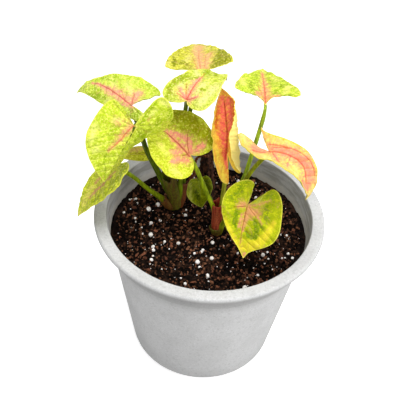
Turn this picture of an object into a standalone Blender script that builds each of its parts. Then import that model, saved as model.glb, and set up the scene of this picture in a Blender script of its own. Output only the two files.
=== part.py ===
"""A potted syngonium: a tapered grey pot with a flat rim, filled with potting soil,
and two leafy shoots with twelve arrow-shaped leaves, an old stem stub and a dry stalk.

Lengths in the tables below are millimetres and angles are degrees; MM turns them into metres.
The origin is the centre of the pot's base, +Z is up, and -Y is the front of the plant.
"""
import math
from collections import namedtuple

import bmesh
import bpy
import numpy as np

MM = 0.001
CLEARANCE = 0.4

# Pot
POT_HEIGHT = 119.0
RIM_RADIUS = 75.0
RIM_THICKNESS = 5.2
RIM_INNER_RADIUS = 66.8
COLLAR_TOP_RADIUS = 68.2
COLLAR_LOW_RADIUS = 66.1
COLLAR_LOW_Z = 101.2
STEP_WIDTH = 1.6
BASE_RADIUS = 47.3
BASE_FILLET = 12.0
WALL = 1.7
FLOOR = 4.0
POT_SIDES = 64
DRAIN_HOLES = 5
DRAIN_HOLE_RADIUS = 3.5
DRAIN_CIRCLE_RADIUS = 21.0

# Soil
SOIL_EDGE_Z = 102.8
SOIL_CROWN_Z = 104.2

# Leaves
BLADE_THICKNESS = 0.65
BLADE_COLUMNS = 4
EAR_STEPS = 4
FLANK_STEPS = 7
STALK_GAP = 1.35
STALK_SETBACK = 0.8
STALK_END_RADIUS = 0.8


# One half of a blade, seen flat: greatest width, where along the midrib it lies, how far the
# ear reaches behind the stalk and how far out its tip lies, the fullness of the flank, the
# sharpness of the apex, and how far the notch opens. Then its shape in space: the angle at
# which it leaves the midrib, how much that angle grows towards the apex and towards the
# margin, how far the ear droops, and how far the ear is bent sideways.
Half = namedtuple("Half", "width at ear side full point open fold grow curl droop skew",
                  defaults=(1.8, 1.15, 0.1, 9, 0.0, -8, 8, 0.0))

# A leaf: where the stalk meets the blade, the compass heading, pitch and roll of the midrib
# there, its length, how far it arches over its length and hooks at the tip, how far it twists,
# how far it sweeps sideways, and its left and right halves.
Leaf = namedtuple("Leaf", "base heading pitch roll length arch hook twist sweep left right")

LEAVES = {
    "leaf_top": Leaf((-11.8, 40.6, 202.1), 96, -7, -6, 50, 17, 0, 8, 0.0,
                     Half(23, 3, 1, 9), Half(19.8, 3.5, 2, 8.5, fold=12, curl=-3)),
    "leaf_back_left": Leaf((-54.7, 28.0, 179.8), 150, 1, 0, 51, 26, 35, -16, -0.07,
                           Half(8, 4, 17, 6, open=0.04, fold=-24, curl=-50, droop=6, skew=-0.07),
                           Half(24.5, 4, 5.5, 18, full=1.9, open=0.15, fold=10, curl=-14)),
    "leaf_upper_middle": Leaf((-19.0, 8.0, 202.2), 67, 28, -12, 44, 70, 31, 1, -0.08,
                              Half(18, 3, 4, 9.5, fold=8), Half(18.5, 4, 5.5, 10.5, fold=8)),
    "leaf_front_left": Leaf((-48.1, -10.4, 193.5), 226, -53, -39, 41, 20, 0, -22, 0.0,
                            Half(22.7, -6, 23.2, 10, full=1.2, point=1.25, open=0.2, fold=-38,
                                 grow=1.0, curl=-21, droop=12, skew=-0.22),
                            Half(23.7, 13, 8.4, 17.8, full=1.9, point=1.1, open=0.6, fold=10,
                                 curl=-6)),
    "leaf_back_right": Leaf((28.1, 12.0, 199.4), 92, 0, 1, 50, 22, -17, 8, 0.0,
                            Half(19, 13.5, -10.5, 9, fold=11, curl=-10),
                            Half(22, 14, -10, 10, fold=10, curl=-9)),
    "leaf_right": Leaf((32.0, -14.9, 186.6), -22, 3, 4, 44.8, 102, 4, -9, 0.0,
                       Half(12, 15, 7, 13, full=2.1, point=1.05, open=0.2, fold=32, grow=0.2,
                            curl=13, droop=9),
                       Half(16, -1.5, 22, 10.4, open=-0.44, fold=7, curl=37, droop=-7,
                            skew=1.27)),
    "leaf_folded": Leaf((7.5, 4.3, 169.3), 106, 59, -3, 38.7, 21, 0, 0, 0.0,
                        Half(10.5, 4.5, 21.5, 2.5, full=1.9, point=1.1, fold=10, curl=25,
                             skew=-0.13),
                        Half(24.5, 5, 16.5, 9, fold=32, curl=128)),
    "leaf_middle": Leaf((-14.9, -2.0, 169.0), 150, 37, -14, 37, 41, 10, -13, -0.02,
                        Half(22.5, 4, 9.5, 10.5, full=2.0, point=1.0, fold=9, curl=-6),
                        Half(21, 9.5, 6.5, 12.5, full=1.9, point=1.05, open=0.15, fold=11,
                             curl=-7)),
    "leaf_small": Leaf((-8.8, 5.0, 141.5), 305, -68, 0, 20, 12, 0, 0, 0.0,
                       Half(9, 6, 2, 5), Half(10, 6, 3, 5)),
    "leaf_front": Leaf((22.5, -20.9, 148.1), 257, -52, 1, 33, 14, -21, 4, 0.13,
                       Half(23.5, 7.5, 13, 14, full=2.0, open=0.66, curl=-7),
                       Half(16, 3, 16, 4, point=1.3, fold=8, curl=-7, skew=0.35)),
    "leaf_low_left": Leaf((-59.1, -5.0, 156.8), 211, -39, 14, 42, 16, 9, -11, -0.02,
                          Half(19, 3.5, 7.5, 8.5, fold=10), Half(17.5, 3, 14, 9, point=1.05,
                                                                 fold=6, curl=-13)),
    "leaf_hidden": Leaf((-44.5, 29.0, 139.5), 192, 8, -20, 24, 30, 0, 0, 0.0,
                        Half(5, 3, 3, 3, curl=-40), Half(6, 3, 3, 3)),
}

# Where each shoot's stem leaves the soil, and the points that its leaf stalks pass on the way
# from there to the blades. The last point is the blade's own.
STEM_BOTTOM_Z = 86.0
LEFT_STEM = [(-23.5, 20.0, STEM_BOTTOM_Z), (-23.5, 20.0, 100.0), (-23.8, 19.5, 108.0),
             (-24.0, 18.8, 115.0)]
LEFT_STEM_RADII = (4.4, 4.9, 4.7, 3.4)
RIGHT_STEM = [(6.0, -2.5, STEM_BOTTOM_Z), (6.0, -2.5, 100.0), (5.2, -2.8, 114.0),
              (4.6, -3.0, 127.0)]
RIGHT_STEM_RADII = (3.6, 4.2, 3.7, 3.2)

LEFT_STALKS = {
    "leaf_top": [(-22.0, 20.0, 105.0), (-20.0, 21.0, 116.0), (-19.0, 22.5, 130.0),
                 (-18.0, 26.5, 160.0), (-17.5, 29.5, 178.0), (-14.5, 36.0, 194.5)],
    "leaf_back_left": [(-24.5, 19.5, 105.0), (-27.9, 19.5, 114.7), (-32.1, 20.0, 122.8),
                       (-37.1, 21.5, 132.4), (-44.5, 24.0, 147.9), (-50.4, 26.5, 165.9)],
    "leaf_upper_middle": [(-22.5, 18.0, 105.0), (-20.8, 17.0, 119.0), (-20.8, 17.0, 129.0),
                          (-20.8, 22.0, 157.0), (-20.5, 25.0, 176.0), (-20.0, 22.5, 187.5),
                          (-19.4, 13.5, 197.0)],
    "leaf_front_left": [(-24.0, 18.5, 106.0), (-26.5, 17.0, 115.3), (-30.0, 16.8, 124.3),
                        (-34.8, 16.5, 135.7), (-42.6, 13.0, 156.5), (-45.3, 8.5, 171.0),
                        (-47.8, 1.0, 185.5)],
    "leaf_low_left": [(-25.0, 17.5, 104.0), (-30.1, 15.0, 112.2), (-34.6, 11.5, 119.5),
                      (-41.8, 7.0, 129.9), (-48.8, 2.5, 141.4), (-55.5, -1.5, 150.5)],
    "leaf_hidden": [(-24.5, 20.5, 105.0), (-28.5, 23.0, 115.0), (-36.0, 27.5, 127.0),
                    (-42.0, 28.5, 135.5)],
}
RIGHT_STALKS = {
    "leaf_back_right": [(6.5, -2.0, 106.0), (9.0, -0.5, 120.0), (15.0, 2.0, 136.5),
                        (19.6, 4.0, 148.3), (24.1, 7.5, 171.3), (27.2, 10.5, 189.0)],
    "leaf_right": [(7.0, -3.0, 106.0), (12.0, -4.5, 127.0), (18.0, -5.0, 148.0),
                   (23.5, -7.5, 164.5), (28.5, -12.0, 178.0)],
    "leaf_folded": [(6.3, -2.0, 108.0), (6.9, -1.0, 126.3), (7.6, 1.5, 140.0),
                    (8.1, 5.5, 157.0)],
    "leaf_middle": [(5.0, -3.0, 110.0), (2.1, -3.0, 126.0), (-1.7, -3.0, 135.2),
                    (-5.0, -3.0, 144.3), (-11.9, -2.8, 161.5)],
    "leaf_small": [(5.5, -1.0, 106.0), (3.0, 3.0, 117.0), (-2.0, 8.0, 129.0),
                   (-7.0, 9.0, 139.0)],
    "leaf_front": [(6.8, -3.5, 105.0), (9.0, -7.0, 117.0), (13.0, -11.0, 128.5),
                   (18.5, -16.0, 142.0)],
}
STALK_RADIUS = 1.4
SHEATH_RADIUS = 2.4
SHEATH_TOP_Z = 130.0

OLD_STEM = [(-3.5, 28.0, STEM_BOTTOM_Z), (-3.5, 28.0, 104.0), (-3.2, 28.0, 114.0),
            (-4.0, 28.2, 126.0), (-4.4, 28.0, 138.0), (-4.7, 27.8, 146.0)]
OLD_STEM_RADII = (4.2, 5.0, 4.4, 4.5, 4.0, 4.2)
DRY_STALK = [(-20.0, 26.0, 96.0), (-20.0, 25.5, 106.0), (-20.1, 25.0, 112.8),
             (-17.3, 25.0, 119.4), (-12.8, 25.0, 129.0), (-12.1, 24.5, 136.0),
             (-11.6, 23.5, 143.5), (-8.7, 22.0, 147.9), (-4.0, 20.5, 149.3)]
DRY_STALK_RADII = (1.2, 1.2, 1.1, 1.0, 0.9, 0.8, 0.7)


def clear_scene():
    for thing in list(bpy.data.objects):
        bpy.data.objects.remove(thing, do_unlink=True)


def make_material(name, colour, roughness):
    material = bpy.data.materials.new(name)
    material.use_nodes = True
    surface = material.node_tree.nodes["Principled BSDF"]
    surface.inputs["Base Color"].default_value = (*colour, 1.0)
    surface.inputs["Roughness"].default_value = roughness
    surface.inputs["Metallic"].default_value = 0.0
    material.diffuse_color = (*colour, 1.0)
    return material


def add_object(name, mesh, collection, material):
    thing = bpy.data.objects.new(name, mesh)
    collection.objects.link(thing)
    if material is not None:
        mesh.materials.append(material)
    return thing


def round_corners(corners, steps):
    """Turn (r, z, fillet) corners into points, with an arc of that radius at each corner."""
    points = []
    for index, (r, z, fillet) in enumerate(corners):
        here = np.array((r, z))
        if fillet == 0:
            points.append(here)
            continue
        before = np.array(corners[index - 1][:2]) - here
        after = np.array(corners[index + 1][:2]) - here
        before /= np.linalg.norm(before)
        after /= np.linalg.norm(after)
        half_angle = math.acos(float(np.clip(before @ after, -1, 1))) / 2
        centre = (before + after) / np.linalg.norm(before + after) * fillet / math.sin(half_angle)
        start = before * fillet / math.tan(half_angle) - centre
        end = after * fillet / math.tan(half_angle) - centre
        turn = math.atan2(start[0] * end[1] - start[1] * end[0], start @ end)
        for step in range(steps + 1):
            angle = turn * step / steps
            spun = np.array((start[0] * math.cos(angle) - start[1] * math.sin(angle),
                             start[0] * math.sin(angle) + start[1] * math.cos(angle)))
            points.append(here + centre + spun)
    return points


def turned_solid(name, profile, sides, collection, material):
    """Spin an (r, z) profile in millimetres round Z. It runs down the outer side."""
    mesh = bpy.data.meshes.new(name)
    vertices = [(r * MM, 0.0, z * MM) for r, z in profile]
    edges = [(i, i + 1) for i in range(len(vertices) - 1)]
    mesh.from_pydata(vertices, edges, [])
    solid = add_object(name, mesh, collection, material)
    screw = solid.modifiers.new("turn", "SCREW")
    screw.axis = "Z"
    screw.steps = sides
    screw.render_steps = sides
    screw.use_merge_vertices = True
    screw.merge_threshold = 0.00001
    screw.use_smooth_shade = True
    return solid


def cut(solid, cutter):
    boolean = solid.modifiers.new("cut_" + cutter.name, "BOOLEAN")
    boolean.operation = "DIFFERENCE"
    boolean.solver = "EXACT"
    boolean.object = cutter


def add_cutter(name, x, y, z_low, z_high, radius, cutters, sides=14):
    bpy.ops.mesh.primitive_cylinder_add(vertices=sides, radius=radius * MM,
                                        depth=(z_high - z_low) * MM,
                                        location=(x * MM, y * MM, (z_low + z_high) / 2 * MM))
    cutter = bpy.context.object
    cutter.name = name
    for owner in list(cutter.users_collection):
        owner.objects.unlink(cutter)
    cutters.objects.link(cutter)
    cutter.hide_render = True
    cutter.display_type = "WIRE"
    return cutter


def wall_radius(z):
    """Outer radius of the tapered body at height z, below the step under the collar."""
    top = COLLAR_LOW_RADIUS - STEP_WIDTH
    return BASE_RADIUS + (top - BASE_RADIUS) * z / COLLAR_LOW_Z


def pot_profile():
    lip_low = POT_HEIGHT - RIM_THICKNESS
    inner_low = COLLAR_LOW_RADIUS - WALL
    corners = [
        (0.0, FLOOR, 0),
        (wall_radius(FLOOR) - WALL, FLOOR, BASE_FILLET - WALL),
        (wall_radius(COLLAR_LOW_Z) - WALL, COLLAR_LOW_Z - 1.0, 0),
        (inner_low, COLLAR_LOW_Z + 0.6, 0),
        (RIM_INNER_RADIUS, POT_HEIGHT, 0.8),
        (RIM_RADIUS, POT_HEIGHT, RIM_THICKNESS / 2 - 0.01),
        (RIM_RADIUS, lip_low, RIM_THICKNESS / 2 - 0.01),
        (COLLAR_TOP_RADIUS, lip_low, 0.6),
        (COLLAR_LOW_RADIUS, COLLAR_LOW_Z, 0.4),
        (wall_radius(COLLAR_LOW_Z), COLLAR_LOW_Z - 1.0, 0),
        (BASE_RADIUS, 0.0, BASE_FILLET),
        (0.0, 0.0, 0),
    ]
    return round_corners(corners, 3)


def soil_profile():
    gap = CLEARANCE
    inner_low = COLLAR_LOW_RADIUS - WALL
    slope = (RIM_INNER_RADIUS - inner_low) / (POT_HEIGHT - COLLAR_LOW_Z)
    edge = inner_low + slope * (SOIL_EDGE_Z - COLLAR_LOW_Z) - gap
    corners = [
        (0.0, SOIL_CROWN_Z, 0),
        (18.0, SOIL_CROWN_Z, 0),
        (38.0, SOIL_CROWN_Z - 0.3, 0),
        (55.0, SOIL_EDGE_Z + 0.5, 0),
        (edge, SOIL_EDGE_Z, 0),
        (inner_low - gap, COLLAR_LOW_Z + 0.6 + gap, 0),
        (wall_radius(COLLAR_LOW_Z) - WALL - gap, COLLAR_LOW_Z - 1.0 + gap, 0),
        (wall_radius(FLOOR) - WALL - gap, FLOOR + gap, BASE_FILLET - WALL - gap),
        (0.0, FLOOR + gap, 0),
    ]
    return round_corners(corners, 3)


def make_pot(collection, cutters, material):
    pot = turned_solid("pot", pot_profile(), POT_SIDES, collection, material)
    for index in range(DRAIN_HOLES):
        angle = math.tau * (index + 0.5) / DRAIN_HOLES
        hole = add_cutter(f"drain_{index}", DRAIN_CIRCLE_RADIUS * math.cos(angle),
                          DRAIN_CIRCLE_RADIUS * math.sin(angle), -2.0, FLOOR + 1.0,
                          DRAIN_HOLE_RADIUS, cutters, sides=12)
        cut(pot, hole)


def make_soil(collection, cutters, material):
    soil = turned_solid("soil", soil_profile(), POT_SIDES, collection, material)
    stems = (("left", LEFT_STEM, LEFT_STEM_RADII), ("right", RIGHT_STEM, RIGHT_STEM_RADII),
             ("old", OLD_STEM, OLD_STEM_RADII), ("dry", DRY_STALK, DRY_STALK_RADII))
    for name, path, radii in stems:
        x, y, z = path[0]
        hole = add_cutter("hole_" + name, x, y, z - CLEARANCE, SOIL_CROWN_Z + 5.0,
                          max(radii[:2]) + 4 * CLEARANCE, cutters)
        cut(soil, hole)


def half_outline(half, length):
    """Flat outline of one half from beside the stalk round the ear to the apex.

    The notch side and the outer side of the ear are quarter ellipses, and the flank is a
    power curve that falls from the greatest width to a point.
    """
    ear = np.linspace(0, math.pi / 2, EAR_STEPS + 1)[1:]
    notch_x = -half.ear * np.sin(ear)
    notch_y = half.side * ((1 - half.open) * (1 - np.cos(ear)) + half.open * np.sin(ear))
    outer_x = -half.ear + (half.at + half.ear) * (1 - np.cos(ear))
    outer_y = half.side + (half.width - half.side) * np.sin(ear)
    run = np.linspace(0, 1, FLANK_STEPS + 1)[1:]
    flank_x = half.at + (length - half.at) * run
    flank_y = half.width * np.maximum(1 - run ** half.full, 0) ** half.point
    return (np.concatenate((notch_x, outer_x, flank_x)),
            np.concatenate((notch_y, outer_y, flank_y)))


def midrib_starts(leaf):
    """Where the ribs that run to the outline points leave the midrib, as flat x.

    A leaf with ears sends the ribs of its ears from the stalk. A leaf with a neck, whose
    ears lie ahead of the stalk, spreads them along the neck. The rest follow the midrib.
    """
    neck = 0.8 * max(0.0, -(leaf.left.ear + leaf.right.ear) / 2)
    ear = np.minimum(np.arange(1, 2 * EAR_STEPS + 1) / EAR_STEPS, 1.0) * neck
    run = np.linspace(0, 1, FLANK_STEPS + 1)[1:]
    return np.concatenate((ear, neck + (leaf.length - neck) * run ** 1.25))


def by_side(y, left, right):
    return np.where(y >= 0, left, right)


def bend_blade(leaf, x, y):
    """Carry flat blade points (x along the midrib, y to its left) to their place in space.

    The midrib's slope grows evenly along it, with a hook near the tip. Each half leaves the
    midrib at its fold angle, which grows by its curl towards the margin. Then the section is
    twisted about the midrib, the blade swept sideways, and the whole turned and moved.
    """
    samples = (np.arange(24) + 0.5) / 24
    left, right = leaf.left, leaf.right
    along = x / leaf.length
    droop = by_side(y, left.droop, right.droop)

    def slope(t, ear_droop):
        hook = leaf.hook * np.maximum(0, (t - 0.55) / 0.45) ** 2
        return np.radians(np.where(t >= 0, leaf.arch * t + hook, ear_droop * t))

    path = slope(along[..., None] * samples, droop[..., None])
    mid_x = x * np.cos(path).mean(-1)
    mid_z = -x * np.sin(path).mean(-1)
    tilt = slope(along, droop)

    out = np.abs(y)
    fold = by_side(y, left.fold, right.fold) * (1 + by_side(y, left.grow, right.grow) * along)
    curl = by_side(y, left.curl / left.width, right.curl / right.width)
    section = np.radians(fold[..., None] + curl[..., None] * out[..., None] * samples)
    side = np.sign(y) * out * np.cos(section).mean(-1)
    rise = out * np.sin(section).mean(-1)
    twist = np.radians(leaf.twist) * along
    side, rise = (side * np.cos(twist) - rise * np.sin(twist),
                  side * np.sin(twist) + rise * np.cos(twist))
    skew = by_side(y, left.skew, right.skew)
    side = side + leaf.length * along ** 2 * np.where(x > 0, leaf.sweep, skew)
    local = np.stack((mid_x + np.sin(tilt) * rise, side, mid_z + np.cos(tilt) * rise), -1)
    return np.array(leaf.base) + local @ leaf_frame(leaf)


def leaf_frame(leaf):
    """Rows: along the midrib, to its left, and out of the upper face, at the stalk."""
    heading, pitch, roll = (math.radians(v) for v in (leaf.heading, leaf.pitch, leaf.roll))
    along = np.array((math.cos(pitch) * math.cos(heading), math.cos(pitch) * math.sin(heading),
                      math.sin(pitch)))
    level = np.array((-math.sin(heading), math.cos(heading), 0.0))
    up = np.cross(along, level)
    side = math.cos(roll) * level + math.sin(roll) * up
    face = math.cos(roll) * up - math.sin(roll) * level
    return np.array((along, side, face))


def make_blade(name, leaf, collection, material):
    """A thin solid over ribs that run from the midrib to the outline, all in triangles."""
    starts = midrib_starts(leaf)
    share = np.linspace(0, 1, BLADE_COLUMNS + 1)
    flat = []
    for half, side in ((leaf.left, 1), (leaf.right, -1)):
        edge_x, edge_y = half_outline(half, leaf.length)
        rib_x = starts[:, None] + (edge_x - starts)[:, None] * share
        flat.append(np.stack((rib_x, side * edge_y[:, None] * share), -1))
    flat = np.array(flat)
    points = bend_blade(leaf, flat[..., 0], flat[..., 1]) * MM

    surface = bmesh.new()
    base = surface.verts.new([v * MM for v in leaf.base])
    midrib = [base if x == 0 else surface.verts.new(points[0, i, 0])
              for i, x in enumerate(starts)]
    for half, order in ((0, 1), (1, -1)):
        rows = [[base] * (BLADE_COLUMNS + 1)]
        for i in range(len(starts)):
            tip = i == len(starts) - 1
            rows.append([midrib[i]] + [midrib[i] if tip else surface.verts.new(points[half, i, j])
                                       for j in range(1, BLADE_COLUMNS + 1)])
        for lower, upper in zip(rows, rows[1:]):
            for j in range(BLADE_COLUMNS):
                corners = (lower[j], upper[j], upper[j + 1], lower[j + 1])
                for a, b, c in ((0, 1, 2), (0, 2, 3)):
                    face = (corners[a], corners[b], corners[c])
                    if len(set(face)) == 3 and face[0] is not face[2]:
                        surface.faces.new(face[::order])
    mesh = bpy.data.meshes.new(name)
    surface.to_mesh(mesh)
    surface.free()
    mesh.shade_smooth()
    blade = add_object(name, mesh, collection, material)
    solidify = blade.modifiers.new("thickness", "SOLIDIFY")
    solidify.thickness = BLADE_THICKNESS * MM
    solidify.offset = 0.0
    return blade


def smooth_path(points, per_span):
    """Points on the Catmull-Rom curve through the given points."""
    knots = np.array(points, dtype=float)
    knots = np.vstack((2 * knots[0] - knots[1], knots, 2 * knots[-1] - knots[-2]))
    path = []
    for a, b, c, d in zip(knots, knots[1:], knots[2:], knots[3:]):
        for t in np.arange(per_span) / per_span:
            path.append(0.5 * (2 * b + (c - a) * t + (2 * a - 5 * b + 4 * c - d) * t ** 2
                               + (3 * b - a - 3 * c + d) * t ** 3))
    path.append(knots[-2])
    return np.array(path)


def make_stalk(name, points, radii, collection, material, per_span=2, roundness=1):
    """A round stalk through the points, as a mesh, with radii spread evenly along it."""
    path = smooth_path(points, per_span)
    shares = np.linspace(0, 1, len(radii))
    widths = np.interp(np.linspace(0, 1, len(path)), shares, radii)
    curve = bpy.data.curves.new(name, "CURVE")
    curve.dimensions = "3D"
    curve.bevel_depth = MM
    curve.bevel_resolution = roundness
    curve.use_fill_caps = True
    spline = curve.splines.new("POLY")
    spline.points.add(len(path) - 1)
    for point, place, width in zip(spline.points, path, widths):
        point.co = (*(place * MM), 1.0)
        point.radius = width
    guide = bpy.data.objects.new(name + "_guide", curve)
    collection.objects.link(guide)
    evaluated = guide.evaluated_get(bpy.context.evaluated_depsgraph_get())
    mesh = bpy.data.meshes.new_from_object(evaluated)
    mesh.materials.clear()
    weld = bmesh.new()
    weld.from_mesh(mesh)
    bmesh.ops.remove_doubles(weld, verts=weld.verts, dist=0.00001)
    bmesh.ops.recalc_face_normals(weld, faces=weld.faces)
    weld.to_mesh(mesh)
    weld.free()
    bpy.data.objects.remove(guide, do_unlink=True)
    return add_object(name, mesh, collection, material)


def make_shoot(name, stem, stem_radii, stalks, collection, material):
    """A stem with its leaf stalks, joined into one body. Each stalk ends just under its blade."""
    shoot = make_stalk(name, stem, stem_radii, collection, material, roundness=2)
    joined = bpy.data.collections.new(name + "_stalks")
    bpy.context.scene.collection.children.link(joined)
    for leaf_name, points in stalks.items():
        leaf = LEAVES[leaf_name]
        along, side, face = leaf_frame(leaf)
        drop = math.radians(max(0, -leaf.left.fold, -leaf.right.fold))
        gap = STALK_GAP / math.cos(drop) ** 2
        end = np.array(leaf.base) - face * gap - along * STALK_SETBACK
        path = [*points, tuple(end)]
        share = [min(max((SHEATH_TOP_Z - z) / (SHEATH_TOP_Z - SOIL_CROWN_Z), 0), 1)
                 for x, y, z in path]
        size = min(1.0, 0.4 + leaf.length / 60)
        radii = [size * (STALK_RADIUS + (SHEATH_RADIUS - STALK_RADIUS) * s) for s in share]
        radii[-1] = STALK_END_RADIUS
        make_stalk("stalk_" + leaf_name, path, radii, joined, None)
    union = shoot.modifiers.new("join", "BOOLEAN")
    union.operation = "UNION"
    union.solver = "EXACT"
    union.operand_type = "COLLECTION"
    union.collection = joined
    bpy.context.view_layer.objects.active = shoot
    bpy.ops.object.modifier_apply(modifier=union.name)
    for thing in list(joined.objects):
        bpy.data.objects.remove(thing, do_unlink=True)
    bpy.data.collections.remove(joined)
    return shoot


LEAF_COLOURS = {
    "leaf_top": (0.55, 0.62, 0.16),
    "leaf_back_left": (0.42, 0.58, 0.08),
    "leaf_upper_middle": (0.55, 0.66, 0.18),
    "leaf_front_left": (0.42, 0.60, 0.08),
    "leaf_back_right": (0.52, 0.60, 0.14),
    "leaf_right": (0.80, 0.38, 0.14),
    "leaf_folded": (0.70, 0.18, 0.10),
    "leaf_middle": (0.40, 0.52, 0.06),
    "leaf_small": (0.14, 0.24, 0.03),
    "leaf_front": (0.52, 0.58, 0.04),
    "leaf_low_left": (0.42, 0.46, 0.05),
    "leaf_hidden": (0.50, 0.36, 0.14),
}


def main():
    clear_scene()
    plant = bpy.data.collections.new("potted_syngonium")
    cutters = bpy.data.collections.new("cutters")
    for group in (plant, cutters):
        bpy.context.scene.collection.children.link(group)

    make_pot(plant, cutters, make_material("grey_pot", (0.55, 0.55, 0.56), 0.7))
    make_soil(plant, cutters, make_material("dark_soil", (0.035, 0.02, 0.014), 0.95))
    green = make_material("stalk_green", (0.16, 0.26, 0.02), 0.5)
    make_shoot("shoot_left", LEFT_STEM, LEFT_STEM_RADII, LEFT_STALKS, plant, green)
    make_shoot("shoot_right", RIGHT_STEM, RIGHT_STEM_RADII, RIGHT_STALKS, plant, green)
    brown = make_material("dry_brown", (0.09, 0.045, 0.025), 0.9)
    make_stalk("old_stem", OLD_STEM, OLD_STEM_RADII, plant, brown, roundness=3)
    make_stalk("dry_stalk", DRY_STALK, DRY_STALK_RADII, plant, brown)
    for name, leaf in LEAVES.items():
        make_blade(name, leaf, plant, make_material(name, LEAF_COLOURS[name], 0.45))


main()
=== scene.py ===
import math
from collections import namedtuple

import bmesh
import bpy
import numpy as np
from mathutils import Matrix


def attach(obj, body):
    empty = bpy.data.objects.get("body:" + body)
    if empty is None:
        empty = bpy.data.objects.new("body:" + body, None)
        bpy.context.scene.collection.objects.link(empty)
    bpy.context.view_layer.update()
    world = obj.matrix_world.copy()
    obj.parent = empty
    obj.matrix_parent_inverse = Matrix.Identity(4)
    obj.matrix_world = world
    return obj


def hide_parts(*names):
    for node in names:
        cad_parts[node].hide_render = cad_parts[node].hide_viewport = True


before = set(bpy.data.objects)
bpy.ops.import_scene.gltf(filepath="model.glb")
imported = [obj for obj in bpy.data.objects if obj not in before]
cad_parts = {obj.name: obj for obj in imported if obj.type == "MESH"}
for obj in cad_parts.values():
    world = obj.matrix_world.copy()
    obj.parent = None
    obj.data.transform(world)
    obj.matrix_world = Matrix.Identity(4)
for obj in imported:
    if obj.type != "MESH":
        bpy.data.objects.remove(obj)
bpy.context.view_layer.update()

MM = 0.001
random = np.random.default_rng(41)

# POT. A round tapered nursery pot of matt light grey plastic with a fine pale speckle. It is
# moulded in one piece: a flat rim with a rounded edge, a low collar under it, and a plain body
# on a flat foot with five drain holes.
POT_HEIGHT = 119.0
RIM_RADIUS = 75.0
RIM_THICKNESS = 3.9
RIM_TOP_FILLET = 1.8
RIM_LOW_FILLET = 2.0
RIM_INNER_RADIUS = 66.8
COLLAR_TOP_RADIUS = 68.2
COLLAR_LOW_RADIUS = 66.1
COLLAR_LOW_Z = 101.2
BODY_TOP_RADIUS = 64.5
BASE_RADIUS = 47.3
BASE_FILLET = 12.0
WALL = 1.7
FLOOR = 4.0
DRAIN_HOLES = 5
DRAIN_CIRCLE_RADIUS = 21.0
DRAIN_HOLE_RADIUS = 3.5
POT_SIDES = 160
DRILL_SIDES = 32

# Heights of the tints in mm: painted shade, a soft grey that deepens up to the lip's underside,
# where it ends, painted shade that darkens the groove under the collar, and a chalky ring inside,
# just above the soil.
SHADE_Z = (89.0, 107.0)
LIP_SHADE_Z = (114.8, 119.2)
GROOVE_SHADE_Z = 100.8
GROOVE_SHADE_REACH = (0.4, 1.6)
CHALK_Z = (108.5, 111.8)


def srgb(r, g, b):
    """A colour given as screen values from 0 to 255, turned into linear light."""
    c = np.array((r, g, b)) / 255
    linear = np.where(c <= 0.04045, c / 12.92, ((c + 0.055) / 1.055) ** 2.4)
    return (*(float(v) for v in linear), 1.0)


def new_material(name, roughness, specular=0.5):
    """A material with a Principled BSDF. Returns it with its node tree and that shader."""
    material = bpy.data.materials.new(name)
    material.use_nodes = True
    tree = material.node_tree
    skin = tree.nodes["Principled BSDF"]
    skin.inputs["Roughness"].default_value = roughness
    skin.inputs["Specular IOR Level"].default_value = specular
    return material, tree, skin


def put(socket, value, tree):
    """Link value into socket if it is an output, or else set it as the socket's number."""
    if isinstance(value, bpy.types.NodeSocket):
        tree.links.new(value, socket)
    else:
        socket.default_value = value


def maths(tree, operation, a, b=0.0, c=0.0):
    """One step of arithmetic on values that change over the surface."""
    node = tree.nodes.new("ShaderNodeMath")
    node.operation = operation
    for socket, value in zip(node.inputs, (a, b, c)):
        put(socket, value, tree)
    return node.outputs[0]


def soft_step(tree, value, low, high, start=0.0, end=1.0):
    """Runs smoothly from start to end as value goes from low to high."""
    node = tree.nodes.new("ShaderNodeMapRange")
    node.interpolation_type = "SMOOTHSTEP"
    for name, v in (("Value", value), ("From Min", low), ("From Max", high), ("To Min", start),
                    ("To Max", end)):
        put(node.inputs[name], v, tree)
    return node.outputs[0]


def blend(tree, share, first, second):
    """Goes from the first colour to the second as share goes from 0 to 1."""
    node = tree.nodes.new("ShaderNodeMix")
    node.data_type = "RGBA"
    put(node.inputs[0], share, tree)
    put(node.inputs[6], first, tree)
    put(node.inputs[7], second, tree)
    return node.outputs[2]


def grain(tree, place, scale, detail=2.0, roughness=0.5):
    """Cloudy noise from 0 to 1, with scale cells to the metre."""
    node = tree.nodes.new("ShaderNodeTexNoise")
    put(node.inputs["Vector"], place, tree)
    node.inputs["Scale"].default_value = scale
    node.inputs["Detail"].default_value = detail
    node.inputs["Roughness"].default_value = roughness
    return node.outputs["Fac"]


def object_place(tree):
    """The point's place on the piece, in metres."""
    return tree.nodes.new("ShaderNodeTexCoord").outputs["Object"]


def stretched_place(tree, across, along=1.0):
    """The point's place, scaled across the piece and along Z, so that grain runs in streaks."""
    node = tree.nodes.new("ShaderNodeMapping")
    node.inputs["Scale"].default_value = (across, across, along)
    put(node.inputs["Vector"], object_place(tree), tree)
    return node.outputs[0]


def height_of(tree, place):
    """The height of a place, in metres."""
    node = tree.nodes.new("ShaderNodeSeparateXYZ")
    put(node.inputs[0], place, tree)
    return node.outputs[2]


def field(tree, name):
    """A number kept at the points of the piece."""
    node = tree.nodes.new("ShaderNodeAttribute")
    node.attribute_name = name
    return node.outputs["Fac"]


def new_group(name, ins, outs):
    """A shader node group with named inputs, given as (name, kind, value), and outputs."""
    tree = bpy.data.node_groups.new(name, "ShaderNodeTree")
    for label, kind, value in ins:
        socket = tree.interface.new_socket(label, in_out="INPUT", socket_type="NodeSocket" + kind)
        socket.default_value = value
    for label, kind in outs:
        tree.interface.new_socket(label, in_out="OUTPUT", socket_type="NodeSocket" + kind)
    return tree, tree.nodes.new("NodeGroupInput"), tree.nodes.new("NodeGroupOutput")


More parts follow.
